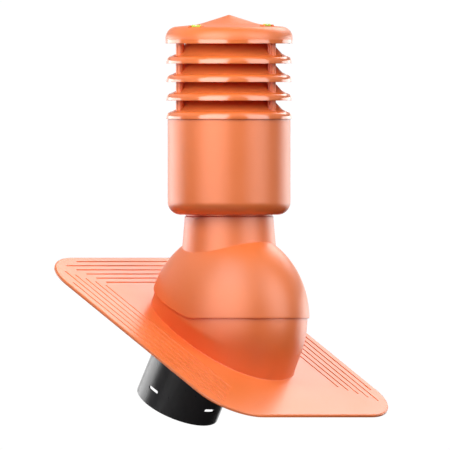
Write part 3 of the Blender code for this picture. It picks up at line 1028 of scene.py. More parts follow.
@dataclass
class Flashing:
    """The flashing plate with its moulded lines and the collar on it, as one moulding."""

    shop: Workshop
    swivel: Swivel
    spigot: DuctSpigot
    length: float = PLATE_LENGTH
    width: float = 0.440
    corner: float = 0.087
    corner_steps: int = 20
    edge: float = 0.0028
    edge_steps: int = 8
    edge_hold: float = 1.5
    lower_edge: float = 0.0004
    lower_edge_steps: int = 3
    lines: int = 6
    line_width: float = 0.0036
    line_depth: float = 0.0017
    line_sides: int = 24
    spacing: float = 0.0144
    inset: float = 0.0157
    corner_gap: float = 0.0218
    corner_gap_step: float = 0.0025
    wall: float = 0.003
    foot_downhill: float = FOOT_DOWNHILL
    foot_side: float = 0.105
    foot_power: float = 2.3
    foot_relief: float = 0.0005
    foot_fillet: float = 0.0012
    fillet_steps: int = 5
    skirt_start: float = 0.1
    skirt_bands: int = 5
    lap_uphill: float = math.radians(2.5)
    lap_downhill: float = math.radians(11.0)
    around: int = 176
    bands: int = 18

    def outline(self, inset: float) -> list[Point]:
        """Lay the plate's outline.

        Args:
            inset: How far inside the plate's edge it runs.

        Returns:
            Its points.
        """
        reach_x = self.width / 2 - self.corner
        reach_y = self.length / 2 - self.corner
        radii = (self.corner - inset, self.corner - inset)
        points = []
        for side_x, side_y, start in ((1, 1, 0), (-1, 1, 90), (-1, -1, 180), (1, -1, 270)):
            centre = (side_x * reach_x, side_y * reach_y)
            points += arc(centre, radii, start, start + 90, self.corner_steps)
        return points

    def plate(self) -> Object:
        """Make the plain plate, with its edges rounded.

        Returns:
            The plate.
        """
        bm = bmesh.new()
        low, high = self.lower_edge, self.edge
        section = [(high, 0.0)]
        section += arc((low, low), (-low, -low), 90, 0, self.lower_edge_steps)
        section += arc((high, PLATE_THICKNESS - high), (-high, high), 0, 90, self.edge_steps)
        section += [(self.edge_hold * high, PLATE_THICKNESS)]
        loops = [[bm.verts.new((x, y, z)) for x, y in self.outline(inset)] for inset, z in section]
        bridge(bm, loops)
        bm.faces.new(loops[0])
        bm.faces.new(loops[-1])
        return mesh_object("flashing_moulding", bm)

    def line_ends(self) -> list[tuple[Point, Point]]:
        """Find both ends of each moulded line; the first line keeps clear of the corners.

        Returns:
            The ends, in the plate's frame.
        """
        ends = []
        for number in range(self.lines):
            inset = self.inset + number * self.spacing
            gap = self.corner_gap - number * self.corner_gap_step
            end = inset + gap if number else self.corner
            uphill = self.length / 2 - inset
            reach = self.width / 2 - end
            ends.append(((-reach, uphill), (reach, uphill)))
            for side in (-1, 1):
                beside = side * (self.width / 2 - inset)
                ends.append(((beside, end - self.length / 2), (beside, self.length / 2 - end)))
        return ends

    def line_cutter(self) -> Object:
        """Make a round bar along each moulded line, sunk to the line's depth.

        Returns:
            The bars, as one object.
        """
        half = self.line_width / 2
        radius = (half**2 + self.line_depth**2) / (2 * self.line_depth)
        height = PLATE_THICKNESS + radius - self.line_depth
        bm = bmesh.new()
        for start, end in self.line_ends():
            bm.edges.new([bm.verts.new((*point, height)) for point in (start, end)])
        lines = mesh_object("groove_bars", bm, closed=False)
        return heal(grow(lines, self.shop.grooves, {"Radius": radius, "Sides": self.line_sides}))

    def skin(self) -> float:
        """The radius of the collar's outer skin about the swivel axis."""
        return self.swivel.radius - self.swivel.wall - self.swivel.clearance

    def foot(self, angle: float, inset: float) -> Vector:
        """Find a point on the collar's foot, which is a rounded oblong.

        Args:
            angle: The point's angle round the collar.
            inset: How far inside the outer skin it lies.

        Returns:
            The point, about the swivel axis.
        """
        uphill = math.sqrt(self.skin() ** 2 - SWIVEL_HEIGHT**2) - self.foot_relief
        half_length = (uphill if math.sin(angle) > 0 else self.foot_downhill) - inset
        cosine, sine = math.cos(angle), math.sin(angle)
        power = 2 / self.foot_power
        across = (self.foot_side - inset) * math.copysign(abs(cosine) ** power, cosine)
        along = half_length * math.copysign(abs(sine) ** power, sine)
        return Vector((across, along, -SWIVEL_HEIGHT))

    def rim_plane(self) -> Point:
        """Find the plane through the collar's rim, which stays under the dome at both limits.

        Returns:
            The plane's slope and its height over the swivel axis.
        """
        radius = self.skin()
        downhill = ROOF_PITCH + self.swivel.uphill + self.lap_downhill
        uphill = math.pi - ROOF_PITCH - self.swivel.uphill_angle() + self.swivel.downhill + self.lap_uphill
        low, high = -radius * math.cos(downhill), radius * math.cos(uphill)
        slope = radius * (math.sin(uphill) - math.sin(downhill)) / (high - low)
        return slope, radius * math.sin(uphill) - slope * high

    def rim_rise(self, angle: float, skin: float) -> float:
        """Find how far up a skin the collar's rim lies.

        Args:
            angle: The place round the collar.
            skin: The skin's radius about the swivel axis.

        Returns:
            The rise, as an angle from the level of the axis.
        """
        slope, middle = self.rim_plane()
        lean = slope * math.sin(angle)
        return math.atan(lean) + math.asin(middle / (skin * math.hypot(1.0, lean)))

    def collar_loops(self, inset: float) -> list[list[Vector]]:
        """Lay loops of points from the collar's foot up to its rim.

        Args:
            inset: How far inside the outer skin they lie.

        Returns:
            The loops, about the swivel axis.
        """
        half_width = self.swivel.half_width - self.swivel.wall - self.swivel.clearance - inset
        skin = self.skin() - inset
        angles = [math.tau * (step + 0.5) / self.around for step in range(self.around)]
        feet = [self.foot(angle, inset) for angle in angles]
        waist = [Vector((half_width * math.cos(a), skin * math.sin(a), 0.0)) for a in angles]
        loops = [[foot + INTO_PLATE for foot in feet]] if inset else self.fillet(feet, waist)
        for step in range(self.skirt_bands):
            share = self.skirt_start + (1 - self.skirt_start) * step / self.skirt_bands
            loops.append([foot.lerp(top, share) for foot, top in zip(feet, waist)])
        tops = [self.rim_rise(angle, skin) for angle in angles]
        for band in range(self.bands + 1):
            loop = []
            for angle, top in zip(angles, tops):
                rise = top * band / self.bands
                across = half_width * math.cos(angle) * math.cos(rise)
                along = skin * math.sin(angle) * math.cos(rise)
                loop.append(Vector((across, along, skin * math.sin(rise))))
            loops.append(loop)
        return loops

    def fillet(self, feet: list[Vector], waist: list[Vector]) -> list[list[Vector]]:
        """Lay loops that round the corner between the plate and the collar's outer skin.

        Args:
            feet: The points of the sharp corner.
            waist: The points above them that the skin leads to.

        Returns:
            The loops, from inside the plate to the skin.
        """
        count = len(feet)
        outward = []
        for index in range(count):
            way = feet[(index + 1) % count] - feet[index - 1]
            outward.append(Vector((way.y, -way.x, 0.0)).normalized() * self.foot_fillet)
        loops = [[foot + out + INTO_PLATE for foot, out in zip(feet, outward)]]
        for step in range(self.fillet_steps + 1):
            t = step / self.fillet_steps
            loop = []
            for foot, out, top in zip(feet, outward, waist):
                start = foot + out
                end = foot + (top - foot).normalized() * self.foot_fillet
                loop.append(start * (1 - t) ** 2 + foot * 2 * t * (1 - t) + end * t * t)
            loops.append(loop)
        return loops

    def collar(self) -> Object:
        """Make the collar as a closed shell.

        Returns:
            The collar, about the swivel axis.
        """
        bm = bmesh.new()
        outer = self.collar_loops(0.0)
        inner = self.collar_loops(self.wall)
        loops = [[bm.verts.new(point) for point in loop] for loop in outer + inner[::-1]]
        bridge(bm, loops + loops[:1])
        return mesh_object("collar", bm)

    def build(self, palette: Palette) -> Object:
        """Build and dress the flashing.

        Args:
            palette: Every material.

        Returns:
            The flashing.
        """
        flashing = self.plate()
        above = Matrix.Translation((0.0, 0.0, PLATE_THICKNESS + SWIVEL_HEIGHT))
        combine(flashing, move(self.collar(), above), Join.ADD)
        tall = 2 * PLATE_THICKNESS
        bore = self.spigot.radius + FIT_GAP
        hole = self.shop.turn("hole", [(0.0, -tall), (bore, -tall), (bore, tall), (0.0, tall)], HOLE_FACETS)
        combine(flashing, move(hole, Matrix.Translation((0.0, self.spigot.setback, 0.0))), Join.CUT)
        combine(flashing, self.line_cutter(), Join.CUT)
        move(dress(flashing, palette.satin), PLATE_FRAME)
        return finish_piece(flashing, Body.BASE, ["flashing"])


@dataclass(frozen=True)
class Neck:
    """The sizes of the dome's neck, which the jacket's socket fits into."""

    top: float = 0.1777
    radius: float = 0.0773
    taper: float = math.radians(4.8)
    wall: float = 0.003

    def radius_at(self, height: float) -> float:
        """The radius of its outer skin at a height."""
        return self.radius + (self.top - height) * math.tan(self.taper)


@dataclass
class SwivelDome:
    """The swivel dome: a hollow spheroid cut off at its seam, with its neck."""

    shop: Workshop
    swivel: Swivel
    neck: Neck
    neck_foot: float = 0.060
    neck_edge: float = 0.0015
    neck_edge_steps: int = 4
    rim_edge: float = 0.0010
    rim_steps: int = 4
    across: int = 120
    over: int = 110
    crease: float = math.radians(30.0)

    def crossings(self, ring: float, lift: float) -> Point:
        """Find where a ring about the swivel axis crosses the raised seam.

        Args:
            ring: The ring's radius.
            lift: How far the seam is raised.

        Returns:
            The downhill and the uphill crossing, as angles about the axis from the downhill level.
        """

        def above(angle: float) -> float:
            """How far a point of the ring stands above the raised seam."""
            return ring * math.sin(angle) - self.swivel.seam(-ring * math.cos(angle)) - lift

        crest = math.pi / 2 - self.swivel.rise
        found = []
        for far in (-math.pi / 2, math.pi):
            low, high = crest, far
            for _ in range(HALVINGS):
                middle = (low + high) / 2
                low, high = (middle, high) if above(middle) > 0 else (low, middle)
            found.append(low)
        return found[0], found[1]

    def grid(self, inset: float, lift: float) -> list[list[Vector]]:
        """Lay points over the shell, down to the raised seam.

        Args:
            inset: How far inside the outer skin they lie.
            lift: How far the seam is raised.

        Returns:
            Rows of points about the swivel axis, each from the downhill to the uphill side.
        """
        half_width = self.swivel.half_width - inset
        radius = self.swivel.radius - inset
        least = self.swivel.setback * math.sin(self.swivel.rise) + lift * math.cos(self.swivel.rise)
        widest = math.acos(least / radius)
        rows = []
        for number in range(self.across + 1):
            latitude = widest * (2 * number / self.across - 1)
            ring = radius * math.cos(latitude)
            if number in (0, self.across):
                start = end = math.pi / 2 - self.swivel.rise
            else:
                start, end = self.crossings(ring, lift)
            x = half_width * math.sin(latitude)
            row = []
            for step in range(self.over + 1):
                angle = start + (end - start) * step / self.over
                row.append(Vector((x, -ring * math.cos(angle), ring * math.sin(angle))))
            rows.append(row)
        return rows

    def shell(self) -> Object:
        """Make the dome's hollow shell without its neck, with a rounded rim.

        Returns:
            The shell, about the swivel axis.
        """
        bm = bmesh.new()
        edge = self.rim_edge
        rims = []
        for inset, lift in ((0.0, edge), (self.swivel.wall, 0.0)):
            rows = [[bm.verts.new(point) for point in row] for row in self.grid(inset, lift)]
            rims.append([row[0] for row in rows] + [row[-1] for row in rows[::-1]])
            for one, two in zip(rows, rows[1:]):
                for corners in zip(one, one[1:], two[1:], two):
                    bm.faces.new(corners)
        rounding = []
        for step in range(1, self.rim_steps + 1):
            angle = math.pi / 2 * step / self.rim_steps
            rows = self.grid(edge * (1 - math.cos(angle)), edge * (1 - math.sin(angle)))
            points = [row[0] for row in rows] + [row[-1] for row in rows[::-1]]
            rounding.append([bm.verts.new(point) for point in points])
        bridge(bm, [rims[0], *rounding, rims[1]])
        return mesh_object("swivel_hood", bm)

    def cone(self, inset: float, top: float) -> Object:
        """Make a solid cone inside the neck's outer skin.

        Args:
            inset: How far inside the skin its side lies.
            top: The height of its top.

        Returns:
            The cone.
        """
        foot = self.neck_foot
        wide, narrow = self.neck.radius_at(foot) - inset, self.neck.radius_at(top) - inset
        line = [(0.0, foot), (wide, foot), (narrow, top), (0.0, top)]
        return self.shop.turn("neck", eased(line, self.neck_edge, self.neck_edge_steps), PIPE_FACETS)

    def build(self, palette: Palette) -> Object:
        """Build and dress the dome.

        Args:
            palette: Every material.

        Returns:
            The dome.
        """
        middle = self.swivel.wall / 2
        core = spheroid("core", self.swivel.half_width - middle, self.swivel.radius - middle)
        neck = combine(self.cone(0.0, self.neck.top), core, Join.CUT)
        dome = combine(self.shell(), neck, Join.ADD)
        combine(dome, self.cone(self.neck.wall, self.neck.top + 2 * self.neck.wall), Join.CUT)
        move(dress(dome, palette.satin), COLUMN_FRAME)
        return finish_piece(dome, Body.COLUMN, ["swivel_dome"], self.crease)


@dataclass
class Louvre:
    """A louvre: a rounded lip with a cone rising inward from its top."""

    radius: float = 0.110
    height: float = 0.0136
    rounding: float = 0.0105
    rounding_steps: int = 12
    edge: float = 0.0005
    top_rise: float = 0.003
    cone_foot: float = 0.093
    cone_top: float = 0.0752
    cone_rise: float = 0.019
    wall: float = 0.0025
    pitch: float = 0.03225
    rings: int = 3

    def profile(self, lip: float) -> list[Point]:
        """Lay the upper side, from the foot of the lip to the top of the cone.

        Args:
            lip: The height of the foot of the lip.

        Returns:
            The (radius, height) points.
        """
        spring = lip + self.height - self.rounding
        radii = (self.rounding, self.rounding)
        seam = lip + self.height + self.top_rise
        line = [(self.radius, lip)]
        line += arc((self.radius - self.rounding, spring), radii, 0, 90, self.rounding_steps)
        return line + [(self.cone_foot, seam), (self.cone_top, seam + self.cone_rise)]

    def polish(self, piece: Object, lip: float, palette: Palette) -> None:
        """Give the outer face of a piece's lip the polished finish, and the rest the satin one.

        Args:
            piece: A piece in the column's own frame.
            lip: The height of the foot of its lip.
            palette: Every material.
        """
        dress(piece, palette.satin, palette.polished)
        inner = self.radius - self.rounding
        for face in piece.data.polygons:
            out = math.hypot(face.center.x, face.center.y)
            outside = face.normal.x * face.center.x + face.normal.y * face.center.y > 0
            level = lip - MERGE < face.center.z < lip + self.height + MERGE
            face.material_index = int(out > inner and level and (outside or face.normal.z > UPWARD))


@dataclass
class Jacket:
    """The jacket: a hollow can with a socket below and its own louvre on top."""

    shop: Workshop
    louvre: Louvre
    neck: Neck
    radius: float = 0.107
    wall: float = 0.003
    height: float = 0.1665
    corner: float = 0.0226
    corner_steps: int = 16
    edge: float = 0.0005
    side_hold: float = 0.001
    shadow_gap: float = 0.003
    shadow_inset: float = 0.0015
    socket: float = 0.035

    def bottom(self) -> float:
        """The height of the jacket's lower side."""
        return self.neck.top + self.shadow_gap

    def lip(self) -> float:
        """The height of the foot of the jacket's own lip."""
        return self.bottom() + self.height

    def profile(self) -> list[Point]:
        """Lay the closed section, from the middle of the socket's outer side round to it again.

        Returns:
            The (radius, height) points.
        """
        outer_socket = self.neck.radius - self.neck.wall - FIT_GAP
        inner_socket = outer_socket - self.wall
        shoulder = self.neck.radius - self.shadow_inset
        socket_end = self.neck.top - self.socket
        seat = self.neck.top + FIT_GAP
        centre = (self.radius - self.corner, self.bottom() + self.corner)
        inner_corner = self.corner - self.wall
        start = (outer_socket, (socket_end + seat) / 2)
        line = [start, (outer_socket, seat), (shoulder, seat), (shoulder, self.bottom())]
        line += arc(centre, (self.corner, self.corner), -90, 0, self.corner_steps)
        line += [(self.radius, self.lip() - self.side_hold), (self.radius, self.lip())]
        upper = self.louvre.profile(self.lip())
        line += upper
        line += upto_radius(offset_line(upper, self.louvre.wall), self.radius - self.wall)[::-1]
        line += arc(centre, (inner_corner, inner_corner), 0, -90, self.corner_steps)
        line += [(inner_socket, self.bottom() + self.wall), (inner_socket, socket_end)]
        return line + [(outer_socket, socket_end), start]

    def build(self, palette: Palette) -> Object:
        """Build and dress the jacket.

        Args:
            palette: Every material.

        Returns:
            The jacket.
        """
        jacket = self.shop.turn("jacket_can", eased(self.profile(), self.edge), HEAD_FACETS)
        self.louvre.polish(jacket, self.lip(), palette)
        move(jacket, COLUMN_FRAME)
        return finish_piece(jacket, Body.COLUMN, ["jacket"])


@dataclass(frozen=True)
class LevelPlace:
    """Where a spirit level lies: its place from the axis and its turn round it, and how deep it is sunk."""

    side: str
    radius: float
    turn: float
    sink: float


@dataclass
class Cap:
    """The cap: a shallow cone with a brim, a rim band and cradles for two spirit levels.

    The tip's rounding is given by shares of its radius and of the cone's fall over that radius.
    """

    shop: Workshop
    rim: float
    band: float = 0.007
    band_step: float = 0.0005
    radius: float = 0.1115
    shoulder_radius: float = 0.0908
    shoulder_height: float = 0.0295
    shoulder_steps: int = 20
    spring: float = 0.0086
    brim_slope: float = 0.10
    cone_slope: float = 0.32
    cone_foot_steps: int = 12
    apex_height: float = 0.0503
    tip: float = 0.004
    tip_rounding: tuple[Point, ...] = ((0.0, 0.3), (0.3, 0.35), (0.7, 0.55), (1.0, 1.0))
    tip_steps: int = 3
    wall: float = 0.003
    edge: float = 0.0005
    sharpest: float = math.radians(28.6)
    vial_length: float = 0.022
    vial_radius: float = 0.0028
    vial_wall: float = 0.0005
    vial_gap: float = 0.0001
    vial_end_gap: float = 0.00025
    vial_end_steps: int = 6
    cradle_end: float = 0.002
    cradle_ramp: float = 0.003
    cradle_side: float = 0.0015
    cradle_lug: float = 0.001
    cradle_sill: float = 0.0026
    cradle_floor: float = 0.0015
    bubble_length: float = 0.0066
    bubble_radius: float = 0.0021
    bubble_lift: float = 0.0005
    bubble_flatness: float = 0.80
    bubble_room: float = 0.00005
    levels: tuple[LevelPlace, ...] = (
        LevelPlace("left", 0.0940, math.radians(-172.4), 0.0020),
        LevelPlace("right", 0.0820, math.radians(-81.7), 0.0011),
    )

    def upper_side(self) -> list[Point]:
        """Lay the upper side, from the apex out to the foot of the rim.

        Returns:
            The (radius, height) points.
        """
        apex = self.rim + self.apex_height
        shoulder = self.rim + self.shoulder_height
        level = shoulder + self.brim_slope * self.shoulder_radius
        meet = (apex - level) / (self.cone_slope - self.brim_slope)
        reach = min(meet, self.shoulder_radius - meet) / 3
        fall = self.cone_slope * self.tip
        top, *bend = [(out * self.tip, apex - down * fall) for out, down in self.tip_rounding]
        line = [top, *curve(*bend, self.tip_steps)]
        line += [(meet / 2, apex - self.cone_slope * meet / 2)]
        line += curve(
            (meet - reach, apex - self.cone_slope * (meet - reach)),
            (meet, apex - self.cone_slope * meet),
            (meet + reach, level - self.brim_slope * (meet + reach)),
            self.cone_foot_steps,
        )
        spring = self.rim + self.spring
        radii = (self.radius - self.band_step - self.shoulder_radius, shoulder - spring)
        line += arc((self.shoulder_radius, spring), radii, 90, 0, self.shoulder_steps)
        band = self.rim + self.band
        return line + [(self.radius - self.band_step, band), (self.radius, band), (self.radius, self.rim)]

    def under_side(self) -> list[Point]:
        """Lay the lower side, from the foot of the rim in to the middle.

        Returns:
            The (radius, height) points.
        """
        plain = [point for point in self.upper_side() if point[0] < self.radius - MERGE]
        plain = plain[:-1] + [(self.radius - self.band_step, self.rim)]
        inner = offset_line(plain, -self.wall)
        inner[0] = (0.0, plain[0][1] - self.wall)
        return inner[::-1]

    def space_above(self) -> Object:
        """Make a solid of everything above the underside, to cut the posts with.

        Returns:
            The solid.
        """
        ceiling = offset_line(self.under_side(), FIT_GAP)
        ceiling[-1] = (0.0, ceiling[-1][1])
        high = self.rim + 2 * self.apex_height
        outline = [(0.0, high), (self.radius, high), (self.radius, self.rim), *ceiling]
        return self.shop.turn("above_ceiling", outline, CUT_FACETS)

    def height_at(self, radius: float) -> float:
        """Find the height of the upper side.

        Args:
            radius: Where.

        Returns:
            The height there.
        """
        line = self.upper_side()
        for inner, outer in zip(line, line[1:]):
            if inner[0] <= radius < outer[0]:
                share = (radius - inner[0]) / (outer[0] - inner[0])
                return inner[1] + (outer[1] - inner[1]) * share
        return self.rim

    def level_frame(self, level: LevelPlace) -> Matrix:
        """A vial's own frame: x outward, y along the vial, and its middle at the origin."""
        height = self.height_at(level.radius) + self.vial_radius - level.sink
        return Matrix.Rotation(level.turn, 4, "Z") @ Matrix.Translation((level.radius, 0.0, height))

    def capsule(self, name: str, radius: float, length: float) -> Object:
        """Make a round bar with round ends, along y.

        Args:
            name: Its name.
            radius: Its radius.
            length: Its length over its ends.

        Returns:
            The bar.
        """
        end = arc((0.0, length / 2 - radius), (radius, radius), 0, 90, self.vial_end_steps)
        start = arc((0.0, radius - length / 2), (radius, radius), -90, 0, self.vial_end_steps)
        line = [(0.0, start[0][1])] + start[1:] + end[:-1] + [(0.0, end[-1][1])]
        return move(self.shop.turn(name, line, VIAL_FACETS), Matrix.Rotation(-math.pi / 2, 4, "X"))

    def cradle(self, name: str, grow_by: float = 0.0) -> Object:
        """Make a cradle, which is two ramped lugs with a sill between them.

        Args:
            name: Its name.
            grow_by: If not nothing, a plain block is made instead that stands this far round it.

        Returns:
            The cradle or the block, in a vial's own frame.
        """
        reach = self.vial_length / 2 + FIT_GAP
        lug_end = reach + self.cradle_end
        ramp_end = lug_end + self.cradle_ramp + grow_by
        foot = -self.vial_radius - FIT_GAP - self.cradle_floor - grow_by
        top = self.vial_radius
        if grow_by:
            outline = [(-ramp_end, foot), (ramp_end, foot), (ramp_end, top), (-ramp_end, top)]
        else:
            lug = self.cradle_lug
            half = [(ramp_end, foot), (lug_end, lug), (reach, lug), (reach, -self.cradle_sill)]
            outline = half + [(-y, z) for y, z in half[::-1]]
        half_width = self.vial_radius + FIT_GAP + self.cradle_side + grow_by
        upright = Matrix(((0, 0, 1, 0), (1, 0, 0, 0), (0, 1, 0, 0), (0, 0, 0, 1)))
        return move(prism(name, outline, -half_width, half_width), upright)

    def build(self, palette: Palette) -> Object:
        """Build and dress the cap, with its rim band polished.

        Args:
            palette: Every material.

        Returns:
            The cap.
        """
        line = eased(self.upper_side() + self.under_side(), self.edge, sharpest=self.sharpest)
        cap = self.shop.turn("cap_moulding", line, HEAD_FACETS)
        for level in self.levels:
            frame = self.level_frame(level)
            trough = self.capsule("trough", self.vial_radius + FIT_GAP, self.vial_length + 2 * FIT_GAP)
            combine(cap, move(self.cradle("cradle"), frame), Join.ADD)
            combine(cap, move(trough, frame), Join.CUT)
        dress(cap, palette.satin, palette.polished)
        for face in cap.data.polygons:
            out = math.hypot(face.center.x, face.center.y)
            low = face.center.z < self.rim + self.band + MERGE
            face.material_index = int(low and out > self.radius - self.band_step)
        move(cap, COLUMN_FRAME)
        return finish_piece(cap, Body.COLUMN, ["cap"])

    def build_level(self, level: LevelPlace, palette: Palette) -> list[Object]:
        """Build and dress one spirit level: its tube, the liquid in it and the bubble.

        Args:
            level: Where it lies.
            palette: Every material.

        Returns:
            The three pieces.
        """
        frame = COLUMN_FRAME @ self.level_frame(level)
        inside = self.vial_radius - self.vial_wall
        tube = self.capsule(f"vial_tube_{level.side}", self.vial_radius, self.vial_length)
        hollow = self.capsule("hollow", inside, self.vial_length - 2 * self.vial_wall)
        dress(combine(tube, hollow, Join.CUT), palette.acrylic)
        filled = inside - self.vial_gap
        filled_length = self.vial_length - 2 * (self.vial_wall + self.vial_end_gap)
        liquid = self.capsule(f"vial_liquid_{level.side}", filled, filled_length)
        lift = Matrix.Translation((0.0, 0.0, self.bubble_lift))
        flat = Matrix.Diagonal((1.0, 1.0, self.bubble_flatness, 1.0))
        room_length = self.bubble_length + 2 * self.vial_end_gap
        room = self.capsule("bubble_room", filled + self.bubble_room, room_length)
        dress(combine(liquid, move(room, lift @ flat), Join.CUT), palette.liquid)
        bubble = self.capsule(f"vial_bubble_{level.side}", self.bubble_radius, self.bubble_length)
        dress(move(bubble, lift @ flat), palette.bubble)
        nodes = {tube: [f"level_vial_{level.side}"]}
        return [
            finish_piece(move(piece, frame), Body.COLUMN, nodes.get(piece, []))
            for piece in (tube, liquid, bubble)
        ]


@dataclass(frozen=True)
class PostPlace:
    """A post's node, its turn round the column and how many ribs it has."""

    node: str
    turn: float
    ribs: int = 0


@dataclass
class Posts:
    """The three posts between the jacket and the cap."""

    shop: Workshop
    louvre: Louvre
    radius: float = 0.0074
    place: float = 0.0928
    rib_depth: float = 0.0009
    sides: int = 144
    stretches: int = 4
    places: tuple[PostPlace, ...] = (
        PostPlace("post_back", math.radians(38.0)),
        PostPlace("post_left", math.radians(158.0)),
        PostPlace("post_right", math.radians(278.0), ribs=14),
    )

    def bar(self, post: PostPlace, radius: float, low: float, high: float, ribs: int = 0) -> Object:
        """Make an upright bar where a post stands.

        Args:
            post: The post.
            radius: The bar's radius.
            low: The height of its foot.
            high: The height of its top.
            ribs: How many ribs it has.

        Returns:
            The bar, in the column's frame.
        """
        values = {"Radius": radius, "Low": low, "High": high, "Ribs": float(ribs)}
        values |= {"Rib Depth": self.rib_depth if ribs else 0.0}
        values |= {"Sides": self.sides, "Stretches": self.stretches}
        bar = grow(line_object(f"{post.node}_bar", [(0.0, low), (0.0, high)]), self.shop.ribbed, values)
        return move(bar, Matrix.Rotation(post.turn, 4, "Z") @ Matrix.Translation((self.place, 0.0, 0.0)))

    def build(self, lip: float, cap: Cap, palette: Palette) -> list[Object]:
        """Build and dress the posts, fitted to the jacket's top and the underside of the cap.

        Args:
            lip: The height of the foot of the jacket's lip.
            cap: The cap.
            palette: Every material.

        Returns:
            The posts.
        """
        made = []
        deck = offset_line(self.louvre.profile(lip), -FIT_GAP)
        low = lip - self.louvre.height
        outline = [(deck[-1][0], low), (deck[0][0], low), *deck, (deck[-1][0], low)]
        for place in self.places:
            post = self.bar(place, self.radius, lip, cap.rim + cap.apex_height, place.ribs)
            combine(post, self.shop.turn("below_deck", outline, CUT_FACETS), Join.CUT)
            combine(post, cap.space_above(), Join.CUT)
            for level in cap.levels:
                cradle = move(cap.cradle("cradle_space", FIT_GAP), cap.level_frame(level))
                combine(post, cradle, Join.CUT)
            move(dress(post, palette.satin), COLUMN_FRAME)
            made.append(finish_piece(post, Body.COLUMN, [place.node]))
        return made


@dataclass
class LouvreRings:
    """The three louvre rings, with holes for the posts."""

    shop: Workshop
    louvre: Louvre
    posts: Posts

    def build(self, lip: float, palette: Palette) -> list[Object]:
        """Build and dress the rings above the jacket.

        Args:
            lip: The height of the foot of the jacket's lip.
            palette: Every material.

        Returns:
            The rings, from the lowest up.
        """
        made = []
        for number in range(1, self.louvre.rings + 1):
            foot = lip + number * self.louvre.pitch
            outside = self.louvre.profile(foot)
            inside = offset_line(outside, self.louvre.wall)[::-1]
            middle = (self.louvre.radius - self.louvre.wall / 2, foot)
            line = eased([middle, *outside, *inside, middle], self.louvre.edge)
            ring = self.shop.turn(f"louvre_{number}", line, HEAD_FACETS)
            self.louvre.polish(ring, foot, palette)
            for place in self.posts.places:
                hole = self.posts.bar(place, self.posts.radius + FIT_GAP, foot, foot + self.louvre.pitch)
                combine(ring, hole, Join.CUT)
            move(ring, COLUMN_FRAME)
            made.append(finish_piece(ring, Body.COLUMN, [f"louvre_ring_{number}"]))
        return made


# Studio


@dataclass(frozen=True)
class Softbox:
    """A rectangular softbox, by what it covers as seen from the middle of the column.

    Its turn from the camera to the right, its width and its lowest and highest elevation are in degrees.
    Its radiance is 1 where it is as bright as the backdrop.
    """

    name: str
    use: LightUse
    turn: float
    width: float
    low: float
    high: float
    radiance: float
    distance: float = 12.0


